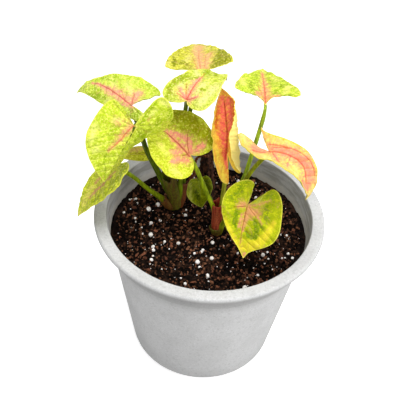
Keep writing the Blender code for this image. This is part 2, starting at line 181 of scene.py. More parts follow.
def use_group(tree, group, **values):
    """Places a group in a material and sets its inputs. Underscores stand for spaces."""
    node = tree.nodes.new("ShaderNodeGroup")
    node.node_tree = group
    for name, value in values.items():
        put(node.inputs[name.replace("_", " ")], value, tree)
    return node


def dress(tree, skin, colour, height, strength, distance):
    """Gives the skin its colour and raises it by height, up to distance in metres."""
    put(skin.inputs["Base Color"], colour, tree)
    bump = tree.nodes.new("ShaderNodeBump")
    bump.inputs["Strength"].default_value = strength
    bump.inputs["Distance"].default_value = distance
    put(bump.inputs["Height"], height, tree)
    put(skin.inputs["Normal"], bump.outputs[0], tree)


def speckle_group():
    """Fine grains, lighter and darker than the ground, over slow cloudy patches."""
    tree, given, out = new_group(
        "fine_speckle",
        (("Ground", "Color", (0.5, 0.5, 0.5, 1)), ("Light Grain", "Color", (0.8, 0.8, 0.8, 1)),
         ("Dark Grain", "Color", (0.2, 0.2, 0.2, 1)), ("Amount", "Float", 0.5)),
        (("Color", "Color"), ("Height", "Float")))
    place = object_place(tree)
    fine = grain(tree, place, 1500, 1.0)
    small = grain(tree, place, 620, 2.0)
    cloud = grain(tree, place, 60, 3.0)
    amount = given.outputs["Amount"]
    light = maths(tree, "MULTIPLY", soft_step(tree, fine, 0.52, 0.72), amount)
    dark = maths(tree, "MULTIPLY", soft_step(tree, small, 0.5, 0.72), amount)
    colour = blend(tree, light, given.outputs["Ground"], given.outputs["Light Grain"])
    colour = blend(tree, dark, colour, given.outputs["Dark Grain"])
    patch = maths(tree, "MULTIPLY", soft_step(tree, cloud, 0.35, 0.7), 0.25)
    colour = blend(tree, patch, colour, given.outputs["Dark Grain"])
    tree.links.new(colour, out.inputs["Color"])
    tree.links.new(maths(tree, "ADD", fine, small), out.inputs["Height"])
    return tree


FINE_SPECKLE = speckle_group()


def round_corners(corners, steps):
    """Points of a profile of (r, z, fillet) corners, with an arc of that radius at each."""
    points = []
    for index, (r, z, fillet) in enumerate(corners):
        here = np.array((r, z))
        if fillet == 0:
            points.append(here)
            continue
        before = np.array(corners[index - 1][:2]) - here
        after = np.array(corners[index + 1][:2]) - here
        before /= np.linalg.norm(before)
        after /= np.linalg.norm(after)
        half_angle = math.acos(float(np.clip(before @ after, -1, 1))) / 2
        centre = (before + after) / np.linalg.norm(before + after) * fillet / math.sin(half_angle)
        start = before * fillet / math.tan(half_angle) - centre
        end = after * fillet / math.tan(half_angle) - centre
        turn = math.atan2(start[0] * end[1] - start[1] * end[0], start @ end)
        angles = turn * np.linspace(0, 1, steps + 1)
        spun = np.stack((start[0] * np.cos(angles) - start[1] * np.sin(angles),
                         start[0] * np.sin(angles) + start[1] * np.cos(angles)), -1)
        points.extend(here + centre + spun)
    return np.array(points)


def new_mesh(name, points, faces, fields):
    """A mesh over points in metres, with fields, which are numbers kept at its points."""
    mesh = bpy.data.meshes.new(name)
    mesh.from_pydata(points.reshape(-1, 3), [], faces)
    for label, values in fields.items():
        layer = mesh.attributes.new(label, "FLOAT", "POINT")
        layer.data.foreach_set("value", np.asarray(values, np.float32).ravel())
    return mesh


def new_piece(name, data):
    """An object that holds a mesh, a lamp or a camera, placed in the scene."""
    piece = bpy.data.objects.new(name, data)
    bpy.context.scene.collection.objects.link(piece)
    return piece


def surface(name, points, material, closed=False, flip=False, fields=None):
    """A mesh over a grid of points in metres, shape (rows, columns, 3).

    closed joins the last column to the first, and flip turns the faces round. Points that fall
    together are merged, which closes poles and seams.
    """
    rows, columns = points.shape[:2]
    row = np.arange(rows - 1)[:, None]
    column = np.arange(columns if closed else columns - 1)[None, :]
    after = (column + 1) % columns
    quads = np.stack((row * columns + column, row * columns + after,
                      (row + 1) * columns + after, (row + 1) * columns + column), -1)
    quads = quads.reshape(-1, 4)
    if flip:
        quads = quads[:, ::-1]
    mesh = new_mesh(name, points, quads, fields or {})
    whole = bmesh.new()
    whole.from_mesh(mesh)
    bmesh.ops.remove_doubles(whole, verts=whole.verts, dist=1e-6)
    whole.to_mesh(mesh)
    whole.free()
    mesh.shade_smooth()
    mesh.materials.append(material)
    return new_piece(name, mesh)


lip_low = POT_HEIGHT - RIM_THICKNESS
inner_low = COLLAR_LOW_RADIUS - WALL
body_foot = BASE_RADIUS + (BODY_TOP_RADIUS - BASE_RADIUS) * FLOOR / COLLAR_LOW_Z
# Inside from the middle of the floor up, over the rim, and down the outside to the foot.
pot_profile = round_corners([
    (0.0, FLOOR, 0),
    (body_foot - WALL, FLOOR, BASE_FILLET - WALL),
    (BODY_TOP_RADIUS - WALL, COLLAR_LOW_Z - 1.0, 1.0),
    (inner_low, COLLAR_LOW_Z + 0.6, 0.6),
    (RIM_INNER_RADIUS, POT_HEIGHT, 0.9),
    (RIM_RADIUS, POT_HEIGHT, RIM_TOP_FILLET),
    (RIM_RADIUS, lip_low, RIM_LOW_FILLET),
    (COLLAR_TOP_RADIUS, lip_low, 0.8),
    (COLLAR_LOW_RADIUS, COLLAR_LOW_Z, 0.4),
    (BODY_TOP_RADIUS - 0.6, COLLAR_LOW_Z - 0.4, 0.3),
    (BODY_TOP_RADIUS - 0.3, COLLAR_LOW_Z - 1.8, 0.8),
    (BASE_RADIUS, 0.0, BASE_FILLET),
    (0.0, 0.0, 0),
], 8)


def turned(profile, sides):
    """Spin an (r, z) profile in millimetres round Z: x = r cos a, y = r sin a."""
    angle = np.linspace(0, math.tau, sides, endpoint=False)
    r, z = profile[:, 0, None], profile[:, 1, None]
    return np.stack((r * np.cos(angle), r * np.sin(angle), z + 0 * angle), -1) * MM


plastic, tree, skin = new_material("speckled_grey_plastic", 0.62, 0.35)
speckle = use_group(tree, FINE_SPECKLE, Ground=srgb(194, 194, 194), Light_Grain=srgb(219, 220, 220),
                    Dark_Grain=srgb(165, 165, 164), Amount=0.5)
inside = field(tree, "inside")
height = height_of(tree, object_place(tree))
# Inside, darker grey bands circle the wall: partly faint marks in the plastic, partly painted shade
# on the inner wall.
wall_bands_and_shade = soft_step(tree, grain(tree, stretched_place(tree, 0.14), 420, 3.0), 0.4, 0.6, 0.15, 0.95)
tint = blend(tree, maths(tree, "MULTIPLY", inside, wall_bands_and_shade), speckle.outputs["Color"],
             srgb(156, 154, 150))
ragged = maths(tree, "MULTIPLY_ADD", grain(tree, object_place(tree), 260, 3.0), 0.006, height)
chalk = soft_step(tree, ragged, CHALK_Z[0] * MM, CHALK_Z[1] * MM, 0.75, 0.0)
tint = blend(tree, maths(tree, "MULTIPLY", inside, chalk), tint, srgb(204, 200, 193))
# Painted shade: a soft grey on the outside that deepens up the body to the lip and fades out over
# the lip's rounding.
shade = maths(tree, "MULTIPLY",
              soft_step(tree, height, SHADE_Z[0] * MM, SHADE_Z[1] * MM, 0.0, 0.6),
              soft_step(tree, height, LIP_SHADE_Z[0] * MM, LIP_SHADE_Z[1] * MM, 1.0, 0.0))
# Painted shade: a dark line along the groove below the collar.
off_groove = maths(tree, "ABSOLUTE", maths(tree, "SUBTRACT", height, GROOVE_SHADE_Z * MM))
groove = soft_step(tree, off_groove, GROOVE_SHADE_REACH[0] * MM, GROOVE_SHADE_REACH[1] * MM, 0.75, 0.0)
# The painted shade under the lip and in the groove, blended to a dark grey on the outside only.
grey = maths(tree, "MULTIPLY", maths(tree, "MAXIMUM", shade, groove),
             maths(tree, "SUBTRACT", 1.0, inside))
tint = blend(tree, grey, tint, srgb(116, 115, 113))
dress(tree, skin, tint, speckle.outputs["Height"], 0.25, 0.0002)
rim_row = np.argmax(pot_profile[:, 1] > POT_HEIGHT - 0.15)
inner_rows = np.arange(len(pot_profile)) < rim_row
pot = surface("pot_body", turned(pot_profile, POT_SIDES), plastic, closed=True, flip=True,
              fields={"inside": np.repeat(inner_rows, POT_SIDES)})


def drill(piece, x, y, low, high, radius):
    """Cut a round upright hole with crisp edges; the bit's corners keep off the pot's spokes."""
    bit = np.array(((0.0, low), (radius, low), (radius, high), (0.0, high)))
    cutter = surface("drill", turned(bit, DRILL_SIDES), None, closed=True)
    cutter.location = (x * MM, y * MM, 0.0)
    cutter.rotation_euler.z = math.pi / DRILL_SIDES
    hole = piece.modifiers.new("hole", "BOOLEAN")
    hole.operation = "DIFFERENCE"
    hole.solver = "EXACT"
    hole.object = cutter
    uncut = piece.data
    drilled = piece.evaluated_get(bpy.context.evaluated_depsgraph_get())
    piece.data = bpy.data.meshes.new_from_object(drilled)
    piece.modifiers.clear()
    bpy.data.objects.remove(cutter)
    bpy.data.meshes.remove(uncut)
    piece.data.name = piece.name
    piece.data.set_sharp_from_angle(angle=math.radians(40))


for turn in np.arange(DRAIN_HOLES) + 0.5:
    angle = math.tau * turn / DRAIN_HOLES
    drill(pot, DRAIN_CIRCLE_RADIUS * math.cos(angle), DRAIN_CIRCLE_RADIUS * math.sin(angle),
          -2.0, FLOOR + 1.0, DRAIN_HOLE_RADIUS)
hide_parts("pot")
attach(pot, "root")

# SOIL. Dark damp potting mix that fills the pot to a finger's width under the rim: a rough bed
# of fine crumbs, sunk and ragged where it meets the wall.
SOIL_EDGE_Z = 102.6
SOIL_CROWN_Z = 104.0
SOIL_RADIUS = 64.2
SOIL_RINGS = 110
SOIL_SIDES = 300
TUCK_SHARE = 0.955
TUCK_Z = 99.0


def bumps(x, y, size, seed):
    """Smooth random hills: 40 plane waves of about that size in mm, with random turns."""
    rolls = np.random.default_rng(seed)
    turn = rolls.uniform(0, math.tau, 40)
    phase = rolls.uniform(0, math.tau, 40)
    pitch = math.tau / size * rolls.uniform(0.6, 1.6, 40)
    waves = [np.sin(p * (x * math.cos(t) + y * math.sin(t)) + f)
             for t, f, p in zip(turn, phase, pitch)]
    return np.sum(waves, 0) / math.sqrt(20)


def soil_height(x, y):
    """Height of the soil in mm: a low crown that falls as ((r - 15) / 48) ** 1.5, and hills."""
    r = np.hypot(x, y)
    z = SOIL_CROWN_Z - (SOIL_CROWN_Z - SOIL_EDGE_Z) * np.clip((r - 15) / 48, 0, 1) ** 1.5
    return z + 0.35 * bumps(x, y, 22, 1) + 0.3 * bumps(x, y, 7, 2) + 0.2 * bumps(x, y, 2.8, 3)


# The last ring is a copy of the edge, tucked inwards and down along the wall.
ring = np.concatenate((np.linspace(0, 1, SOIL_RINGS) ** 0.85, [1.0]))
angle = np.linspace(0, math.tau, SOIL_SIDES, endpoint=False)
x = ring[:, None] * SOIL_RADIUS * np.cos(angle)
y = ring[:, None] * SOIL_RADIUS * np.sin(angle)
z = soil_height(x, y)
x[-1] *= TUCK_SHARE
y[-1] *= TUCK_SHARE
z[-1] = TUCK_Z
loam, tree, skin = new_material("dark_damp_soil", 0.9, 0.08)
place = object_place(tree)
crumb = grain(tree, place, 520, 4.0, 0.65)
clod = grain(tree, place, 130, 3.0)
tint = blend(tree, soft_step(tree, crumb, 0.45, 0.7), srgb(6, 3, 2), srgb(40, 26, 20))
tint = blend(tree, soft_step(tree, clod, 0.5, 0.75), tint, srgb(58, 38, 28))
dress(tree, skin, tint, crumb, 0.9, 0.0012)
soil = surface("soil_bed", np.stack((x, y, z), -1) * MM, loam, closed=True)
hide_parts("soil")
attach(soil, "root")

# CRUMBS AND BARK. The mix holds thousands of peat crumbs, up to three millimetres across, and
# flakes of red-brown bark, up to four millimetres long, that lie loose in every direction.
# What stands in the soil, as x, y and the radius that grains keep clear of, then each kind's
# count, how far from the pot's middle it lies, and its least and greatest size, all in mm.
STEMS = ((-23.5, 19.0, 6.0), (6.0, -2.5, 5.2), (-3.5, 28.0, 5.5))
GOLDEN_TURN = math.radians(137.508)
PEAT_COUNT = 4500
PEAT_REACH = 63.2
PEAT_SIZE = (0.5, 2.0)
BARK_COUNT = 420
BARK_REACH = 62.0
BARK_SIZE = (1.6, 4.2)


def spread(count, reach, seed):
    """Places on a sunflower spiral over the soil, shaken at random, clear of the stems."""
    rolls = np.random.default_rng(seed)
    tries = int(count * 1.1)
    turn = np.arange(tries) + rolls.uniform(-0.45, 0.45, tries)
    r = reach * np.sqrt((turn + 0.5) / len(turn))
    a = turn * GOLDEN_TURN + rolls.uniform(-0.3, 0.3, len(turn))
    x, y = r * np.cos(a), r * np.sin(a)
    free = np.all([np.hypot(x - sx, y - sy) > size for sx, sy, size in STEMS], 0)
    return x[free][:count], y[free][:count]


def turns(count, rolls):
    """Random rotations as matrices, from random unit quaternions."""
    q = rolls.normal(size=(count, 4))
    w, x, y, z = (q / np.linalg.norm(q, axis=1)[:, None]).T
    return np.stack((1 - 2 * (y * y + z * z), 2 * (x * y - z * w), 2 * (x * z + y * w),
                     2 * (x * y + z * w), 1 - 2 * (x * x + z * z), 2 * (y * z - x * w),
                     2 * (x * z - y * w), 2 * (y * z + x * w), 1 - 2 * (x * x + y * y)),
                    -1).reshape(-1, 3, 3)


def scatter(name, places, sizes, material, seed, detail=1, rough=0.25, sink=0.25):
    """One mesh of many loose grains on the soil.

    Each is a ball of a few dozen faces, stretched by its three sizes, dented and turned at
    random, and sunk into the soil by a share of its size.
    """
    rolls = np.random.default_rng(seed)
    x, y = places
    count = len(x)
    ball = bmesh.new()
    bmesh.ops.create_icosphere(ball, subdivisions=detail, radius=0.5)
    shape = np.array([v.co[:] for v in ball.verts])
    faces = np.array([[v.index for v in f.verts] for f in ball.faces])
    ball.free()
    dents = 1 + rough * rolls.uniform(-1, 1, (count, len(shape), 1))
    grains = shape[None] * dents * sizes[:, None, :]
    grains = np.einsum("nij,nvj->nvi", turns(count, rolls), grains)
    lift = sizes.mean(1) * (0.5 - sink)
    centre = np.stack((x, y, soil_height(x, y) + lift), -1)
    points = (grains + centre[:, None]) * MM
    tris = (faces[None] + (np.arange(count) * len(shape))[:, None, None]).reshape(-1, 3)
    tones = np.repeat(rolls.uniform(0, 1, count), len(shape))
    mesh = new_mesh(name, points, tris, {"tone": tones})
    mesh.materials.append(material)
    piece = new_piece(name, mesh)
    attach(piece, "root")


peat, tree, skin = new_material("peat_crumbs", 0.88, 0.08)
pale = soft_step(tree, field(tree, "tone"), 0.45, 1.0)
tint = blend(tree, pale, srgb(7, 3, 2), srgb(122, 82, 60))
dress(tree, skin, tint, grain(tree, object_place(tree), 1800, 2.0), 0.6, 0.0004)
crumb_sizes = (random.uniform(*PEAT_SIZE, (PEAT_COUNT, 1))
               * random.uniform(0.6, 1.4, (PEAT_COUNT, 3)))
scatter("peat_crumbs", spread(PEAT_COUNT, PEAT_REACH, 5), crumb_sizes, peat, 6)

bark, tree, skin = new_material("red_brown_bark", 0.75, 0.12)
tint = blend(tree, field(tree, "tone"), srgb(40, 22, 16), srgb(142, 88, 64))
dress(tree, skin, tint, grain(tree, object_place(tree), 1500, 3.0), 0.6, 0.0005)
flake_sizes = random.uniform(*BARK_SIZE, (BARK_COUNT, 1)) * np.stack(
    (np.ones(BARK_COUNT), random.uniform(0.4, 0.8, BARK_COUNT),
     random.uniform(0.15, 0.35, BARK_COUNT)), -1)
scatter("bark_flakes", spread(BARK_COUNT, BARK_REACH, 7), flake_sizes, bark, 8, sink=0.2)

# PERLITE. White puffed volcanic glass, mixed in as light round grains up to three and a half
# millimetres across, with many smaller chips between them.
PERLITE_COUNT = 350
PERLITE_REACH = 62.0
CHIP_SIZE = 0.6
PERLITE_GAIN = 2.6
puffed, tree, skin = new_material("white_perlite", 0.8, 0.3)
pearl = use_group(tree, FINE_SPECKLE, Ground=srgb(252, 248, 244), Light_Grain=srgb(255, 255, 253),
                  Dark_Grain=srgb(222, 208, 200), Amount=0.3)
dress(tree, skin, pearl.outputs["Color"], pearl.outputs["Height"], 0.5, 0.0005)
pearl_sizes = ((CHIP_SIZE + PERLITE_GAIN * random.uniform(0, 1, (PERLITE_COUNT, 1)) ** 5)
               * random.uniform(0.8, 1.1, (PERLITE_COUNT, 3)))
scatter("perlite_grains", spread(PERLITE_COUNT, PERLITE_REACH, 9), pearl_sizes, puffed, 10,
        detail=2, rough=0.1, sink=0.12)

# LEAVES. Twelve thin arrow-shaped blades, lime green to yellow, flushed salmon pink round the
# stalk and along a dark red midrib. Each is one soft sheet, creased along its veins, on a stalk.
BLADE_THICKNESS = 0.5
VEIN_SPACING = 5.2
EAR_VEIN_STEP = 24
VEIN_SHIFT = 20.5

# The mesh: rows at each quarter of an ear, rows along the flank, columns from midrib to margin.
EAR_ROWS = 12
FLANK_ROWS = 72
COLUMNS = 36
BEND_STEPS = 24

# The relief, in mm.
FULL_RELIEF_LENGTH = 35
CREASE_DEPTH = 0.32
VEIN_DEPTH = 0.3
BROAD_SWELL = 0.24
FINE_SWELL = 0.14
WAVE_HEIGHT = 0.4

# One half of a leaf, flat, in mm: its widest point and how far along it lies, how far the ear
# reaches behind the stalk and out to the side, the fullness of the flank, the sharpness of the
# apex, and how far the notch opens. Then in space: its angle to the midrib in degrees, how that
# grows to the apex and to the margin, how the ear droops and bends sideways. Last, small dents
# and bulges of the outline by the notch, near the tip, at the ear's inner and outer side, and
# the depth of fine crinkles.
Half = namedtuple("Half", "width at ear side full point open fold grow curl droop skew pinch drip "
                  "puff dip crinkle",
                  defaults=(1.8, 1.15, 0.1, 9, 0.0, -8, 8, 0.0, 0.0, 0.0, 0.0, 0.0, 0.0))

# A leaf: where the stalk meets the blade, the heading from X, pitch and roll of the midrib
# there, its length, how far it arches over its length and hooks at the tip, how far it twists,
# how far it sweeps sideways, and its left and right halves. Lengths in mm, angles in degrees.
Leaf = namedtuple("Leaf", "base heading pitch roll length arch hook twist sweep left right")
LEAVES = {
    "leaf_top": Leaf(
        (-11.8, 40.6, 202.1), 96, -7, -6, 50, 17, 0, 8, 0.0, Half(23, 3, 1, 9),
        Half(19.8, 3.5, 2, 8.5, fold=12, curl=-3)),
    "leaf_back_left": Leaf(
        (-54.7, 28.0, 179.8), 150, 1, 0, 51, 26, 35, -16, -0.07,
        Half(8, 4, 17, 6, open=0.04, fold=-24, curl=-50, droop=6, skew=-0.07),
        Half(24.5, 4, 9, 19, full=1.9, open=1.0, fold=10, curl=-14, dip=0.6)),
    "leaf_upper_middle": Leaf(
        (-19.0, 8.0, 202.2), 67, 28, -12, 44, 70, 31, 1, -0.08, Half(18, 3, 4, 9.5, fold=8),
        Half(18.5, 4, 5.5, 10.5, fold=8)),
    "leaf_front_left": Leaf(
        (-48.1, -10.4, 193.5), 226, -53, -39, 41, 20, 0, -22, 0.0,
        Half(22.7, -6, 23.2, 10, full=1.2, point=1.25, open=0.2, fold=-38, grow=1.0, curl=-21,
             droop=12, skew=-0.22),
        Half(23.7, 13, 8.4, 17.8, full=1.9, point=1.1, open=0.6, fold=10, curl=-6)),
    "leaf_back_right": Leaf(
        (28.1, 12.0, 199.4), 92, 0, 1, 50, 22, -17, 8, 0.0,
        Half(19, 13.5, -10.5, 9, fold=11, curl=-10), Half(22, 14, -10, 10, fold=10, curl=-9)),
    "leaf_right": Leaf(
        (32.0, -14.9, 186.6), -22, 3, 4, 44.8, 102, 4, -9, 0.0,
        Half(12, 15, 9.5, 13, full=2.1, point=1.05, open=0.7, fold=32, grow=0.2, curl=13, droop=9,
             dip=1.8),
        Half(15, -1.5, 22, 10.4, open=-0.44, fold=7, curl=37, droop=-7, skew=1.27)),
    "leaf_folded": Leaf(
        (7.5, 4.3, 169.3), 106, 59, -3, 38.7, 21, 0, 0, 0.0,
        Half(10.5, 4.5, 21.5, 2.5, full=1.9, point=1.1, fold=10, curl=25, skew=-0.13),
        Half(24.5, 5, 13.5, 7, fold=32, curl=128, crinkle=0.25)),
    "leaf_middle": Leaf(
        (-14.9, -2.0, 169.0), 150, 37, -14, 37, 41, 10, -13, -0.02,
        Half(22.5, 4, 9.5, 10.5, full=2.0, point=1.0, fold=9, curl=-6),
        Half(21, 9.5, 6.5, 12.5, full=1.9, point=1.05, open=0.15, fold=11, curl=-7)),
    "leaf_small": Leaf(
        (-8.8, 5.0, 141.5), 305, -68, 0, 20, 12, 0, 0, 0.0, Half(9, 6, 2, 5), Half(10, 6, 3, 5)),
    "leaf_front": Leaf(
        (22.5, -20.9, 148.1), 257, -52, 1, 33, 14, -21, 4, 0.13,
        Half(23, 7.5, 13, 14, full=2.5, open=0.66, curl=-7, pinch=4.8, drip=3.6),
        Half(15.6, 1, 15.4, 4, full=1.9, point=1.2, fold=8, curl=-7, skew=0.35, pinch=0.7,
             puff=2.5, drip=0.7)),
    "leaf_low_left": Leaf(
        (-59.1, -5.0, 156.8), 211, -39, 14, 42, 16, 9, -11, -0.02,
        Half(19, 3.5, 7.5, 8.5, fold=10), Half(17.5, 3, 14, 9, point=1.05, fold=6, curl=-13)),
    "leaf_hidden": Leaf(
        (-44.5, 29.0, 139.5), 192, 8, -20, 24, 30, 0, 0, 0.0, Half(5, 3, 3, 3, curl=-40),
        Half(6, 3, 3, 3)),
}


def half_outline(half, length):
    """Flat outline of one half: two quarter ellipses round the ear, then a power curve.

    The power curve is width * (1 - run ** full) ** point, with run from 0 at the widest point.
    The notch bulges by pinch * ear * exp(-4.5 * ear) and sinks by puff * sin(2 * ear) ** 2, the
    ear's outer side sinks by dip * sin(2 * ear), and the flank by drip just short of the tip.
    """
    ear = np.linspace(0, math.pi / 2, EAR_ROWS + 1)[1:]
    notch_x = -half.ear * np.sin(ear)
    notch_y = half.side * ((1 - half.open) * (1 - np.cos(ear)) + half.open * np.sin(ear))
    notch_y = notch_y + half.pinch * 12 * ear * np.exp(-4.5 * ear)
    notch_y = notch_y - half.puff * np.sin(2 * ear) ** 2
    outer_x = -half.ear + (half.at + half.ear) * (1 - np.cos(ear))
    outer_y = half.side + (half.width - half.side) * np.sin(ear) - half.dip * np.sin(2 * ear)
    run = np.linspace(0, 1, FLANK_ROWS + 1)[1:]
    flank_x = half.at + (length - half.at) * run
    flank_y = half.width * np.maximum(1 - run ** half.full, 0) ** half.point
    flank_y = flank_y - half.drip * 11 * np.sin(math.pi * run) ** 2 * run ** 6
    return (np.concatenate((notch_x, outer_x, flank_x)),
            np.concatenate((notch_y, outer_y, np.maximum(flank_y, 0))))


def midrib_starts(leaf):
    """Where the ribs leave the midrib: those of the ears at the stalk, the rest along it."""
    neck = 0.8 * max(0.0, -(leaf.left.ear + leaf.right.ear) / 2)
    ear = np.minimum(np.arange(1, 2 * EAR_ROWS + 1) / EAR_ROWS, 1.0) * neck
    run = np.linspace(0, 1, FLANK_ROWS + 1)[1:]
    return np.concatenate((ear, neck + (leaf.length - neck) * run ** 1.25))


def leaf_frame(leaf):
    """Rows: along the midrib, to its left, and out of the upper face, at the stalk."""
    heading, pitch, roll = (math.radians(v) for v in (leaf.heading, leaf.pitch, leaf.roll))
    along = np.array((math.cos(pitch) * math.cos(heading), math.cos(pitch) * math.sin(heading),
                      math.sin(pitch)))
    level = np.array((-math.sin(heading), math.cos(heading), 0.0))
    up = np.cross(along, level)
    side = math.cos(roll) * level + math.sin(roll) * up
    face = math.cos(roll) * up - math.sin(roll) * level
    return np.array((along, side, face))


def bend_blade(leaf, x, y, relief=0.0):
    """Carry flat blade points (x along the midrib, y to its left) to their place in space.

    The midrib's slope grows evenly along it, with a hook near the tip. Each half leaves it at
    its fold angle, which grows by its curl towards the margin. The section is twisted about the
    midrib, the blade swept sideways, and the whole turned and moved. relief is height in mm.
    A curve is walked in BEND_STEPS steps, and its mean direction is taken.
    """
    samples = (np.arange(BEND_STEPS) + 0.5) / BEND_STEPS
    left, right = leaf.left, leaf.right
    along = x / leaf.length

    def by_side(a, b):
        """a on the left half and b on the right."""
        return np.where(y >= 0, a, b)

    droop = by_side(left.droop, right.droop)

    def slope(t, ear_droop):
        """How steeply the midrib falls at t along it: arch * t plus the hook, or the droop."""
        hook = leaf.hook * np.maximum(0, (t - 0.55) / 0.45) ** 2
        return np.radians(np.where(t >= 0, leaf.arch * t + hook, ear_droop * t))

    path = slope(along[..., None] * samples, droop[..., None])
    mid_x = x * np.cos(path).mean(-1)
    mid_z = -x * np.sin(path).mean(-1)
    tilt = slope(along, droop)
    out = np.abs(y)
    fold = by_side(left.fold, right.fold) * (1 + by_side(left.grow, right.grow) * along)
    curl = by_side(left.curl / left.width, right.curl / right.width)
    section = np.radians(fold[..., None] + curl[..., None] * out[..., None] * samples)
    side = np.sign(y) * out * np.cos(section).mean(-1)
    rise = out * np.sin(section).mean(-1)
    lean = np.radians(fold + curl * out)
    side = side - np.sign(y) * np.sin(lean) * relief
    rise = rise + np.cos(lean) * relief
    twist = np.radians(leaf.twist) * along
    side, rise = (side * np.cos(twist) - rise * np.sin(twist),
                  side * np.sin(twist) + rise * np.cos(twist))
    skew = by_side(left.skew, right.skew)
    side = side + leaf.length * along ** 2 * np.where(x > 0, leaf.sweep, skew)
    local = np.stack((mid_x + np.sin(tilt) * rise, side, mid_z + np.cos(tilt) * rise), -1)
    return np.array(leaf.base) + local @ leaf_frame(leaf)


def flat_blade(leaf):
    """Flat grid of a blade in mm: ruled lines from the left margin over the midrib to the right.

    Also gives how far each point is from the margin.
    """
    starts = midrib_starts(leaf)[:, None]
    share = np.linspace(0, 1, COLUMNS + 1)
    halves = []
    for half, sign in ((leaf.left, 1), (leaf.right, -1)):
        edge_x, edge_y = (v[:, None] for v in half_outline(half, leaf.length))
        reach = np.hypot(edge_x - starts, edge_y)
        x = starts + (edge_x - starts) * share
        halves.append(np.stack((x, sign * edge_y * share, reach * (1 - share)), -1))
    left, right = halves
    grid = np.concatenate((left[:, :0:-1], right), 1)
    return grid[..., 0], grid[..., 1], grid[..., 2]


def side_veins(x, y):
    """Side veins as lines of whole numbers, and how many mm lie between two of them.

    Along the blade they leave the midrib every 5.2 mm and slant forward; behind the stalk they
    fan out into the ears, one every 24 degrees. The gaps stay 0.3 mm or more. The distance to
    the nearest vein is |fraction of (line + VEIN_SHIFT) - 0.5| times the gap.
    """
    out = np.abs(y)
    ahead = x - 0.5 * out - 0.008 * out ** 2
    angle = np.degrees(np.arctan2(out, x)) - 63.4
    fan = ahead < 0
    return (np.where(fan, -np.maximum(angle, 0) / EAR_VEIN_STEP, ahead / VEIN_SPACING),
            np.where(fan, np.hypot(x, y) * math.radians(EAR_VEIN_STEP), VEIN_SPACING * 0.85) + 0.3)


def strokes(x, y, lines, sharpness, thin=1.0):
    """Brush strokes on the flat blade, each a list of (x, y, half width) in mm.

    A stroke may start with its strength, which is 1 if it has none. It is full along the
    stroke's middle and falls as exp(-(distance / half width) ** sharpness).
    """
    total = np.zeros_like(x)
    for line in lines:
        strength, line = (line[0], line[1:]) if isinstance(line[0], float) else (1.0, line)
        for (ax, ay, aw), (bx, by, bw) in zip(line, line[1:]):
            dx, dy = bx - ax, by - ay
            t = np.clip(((x - ax) * dx + (y - ay) * dy) / (dx * dx + dy * dy), 0, 1)
            away = np.hypot(x - ax - t * dx, y - ay - t * dy)
            share = away / (thin * (aw + (bw - aw) * t))
            total = np.maximum(total, strength * np.exp(-share ** sharpness))
    return total


LEAF_TONES = ("Light", "Green", "Deep", "Blush", "Pale", "Vein", "Rim")


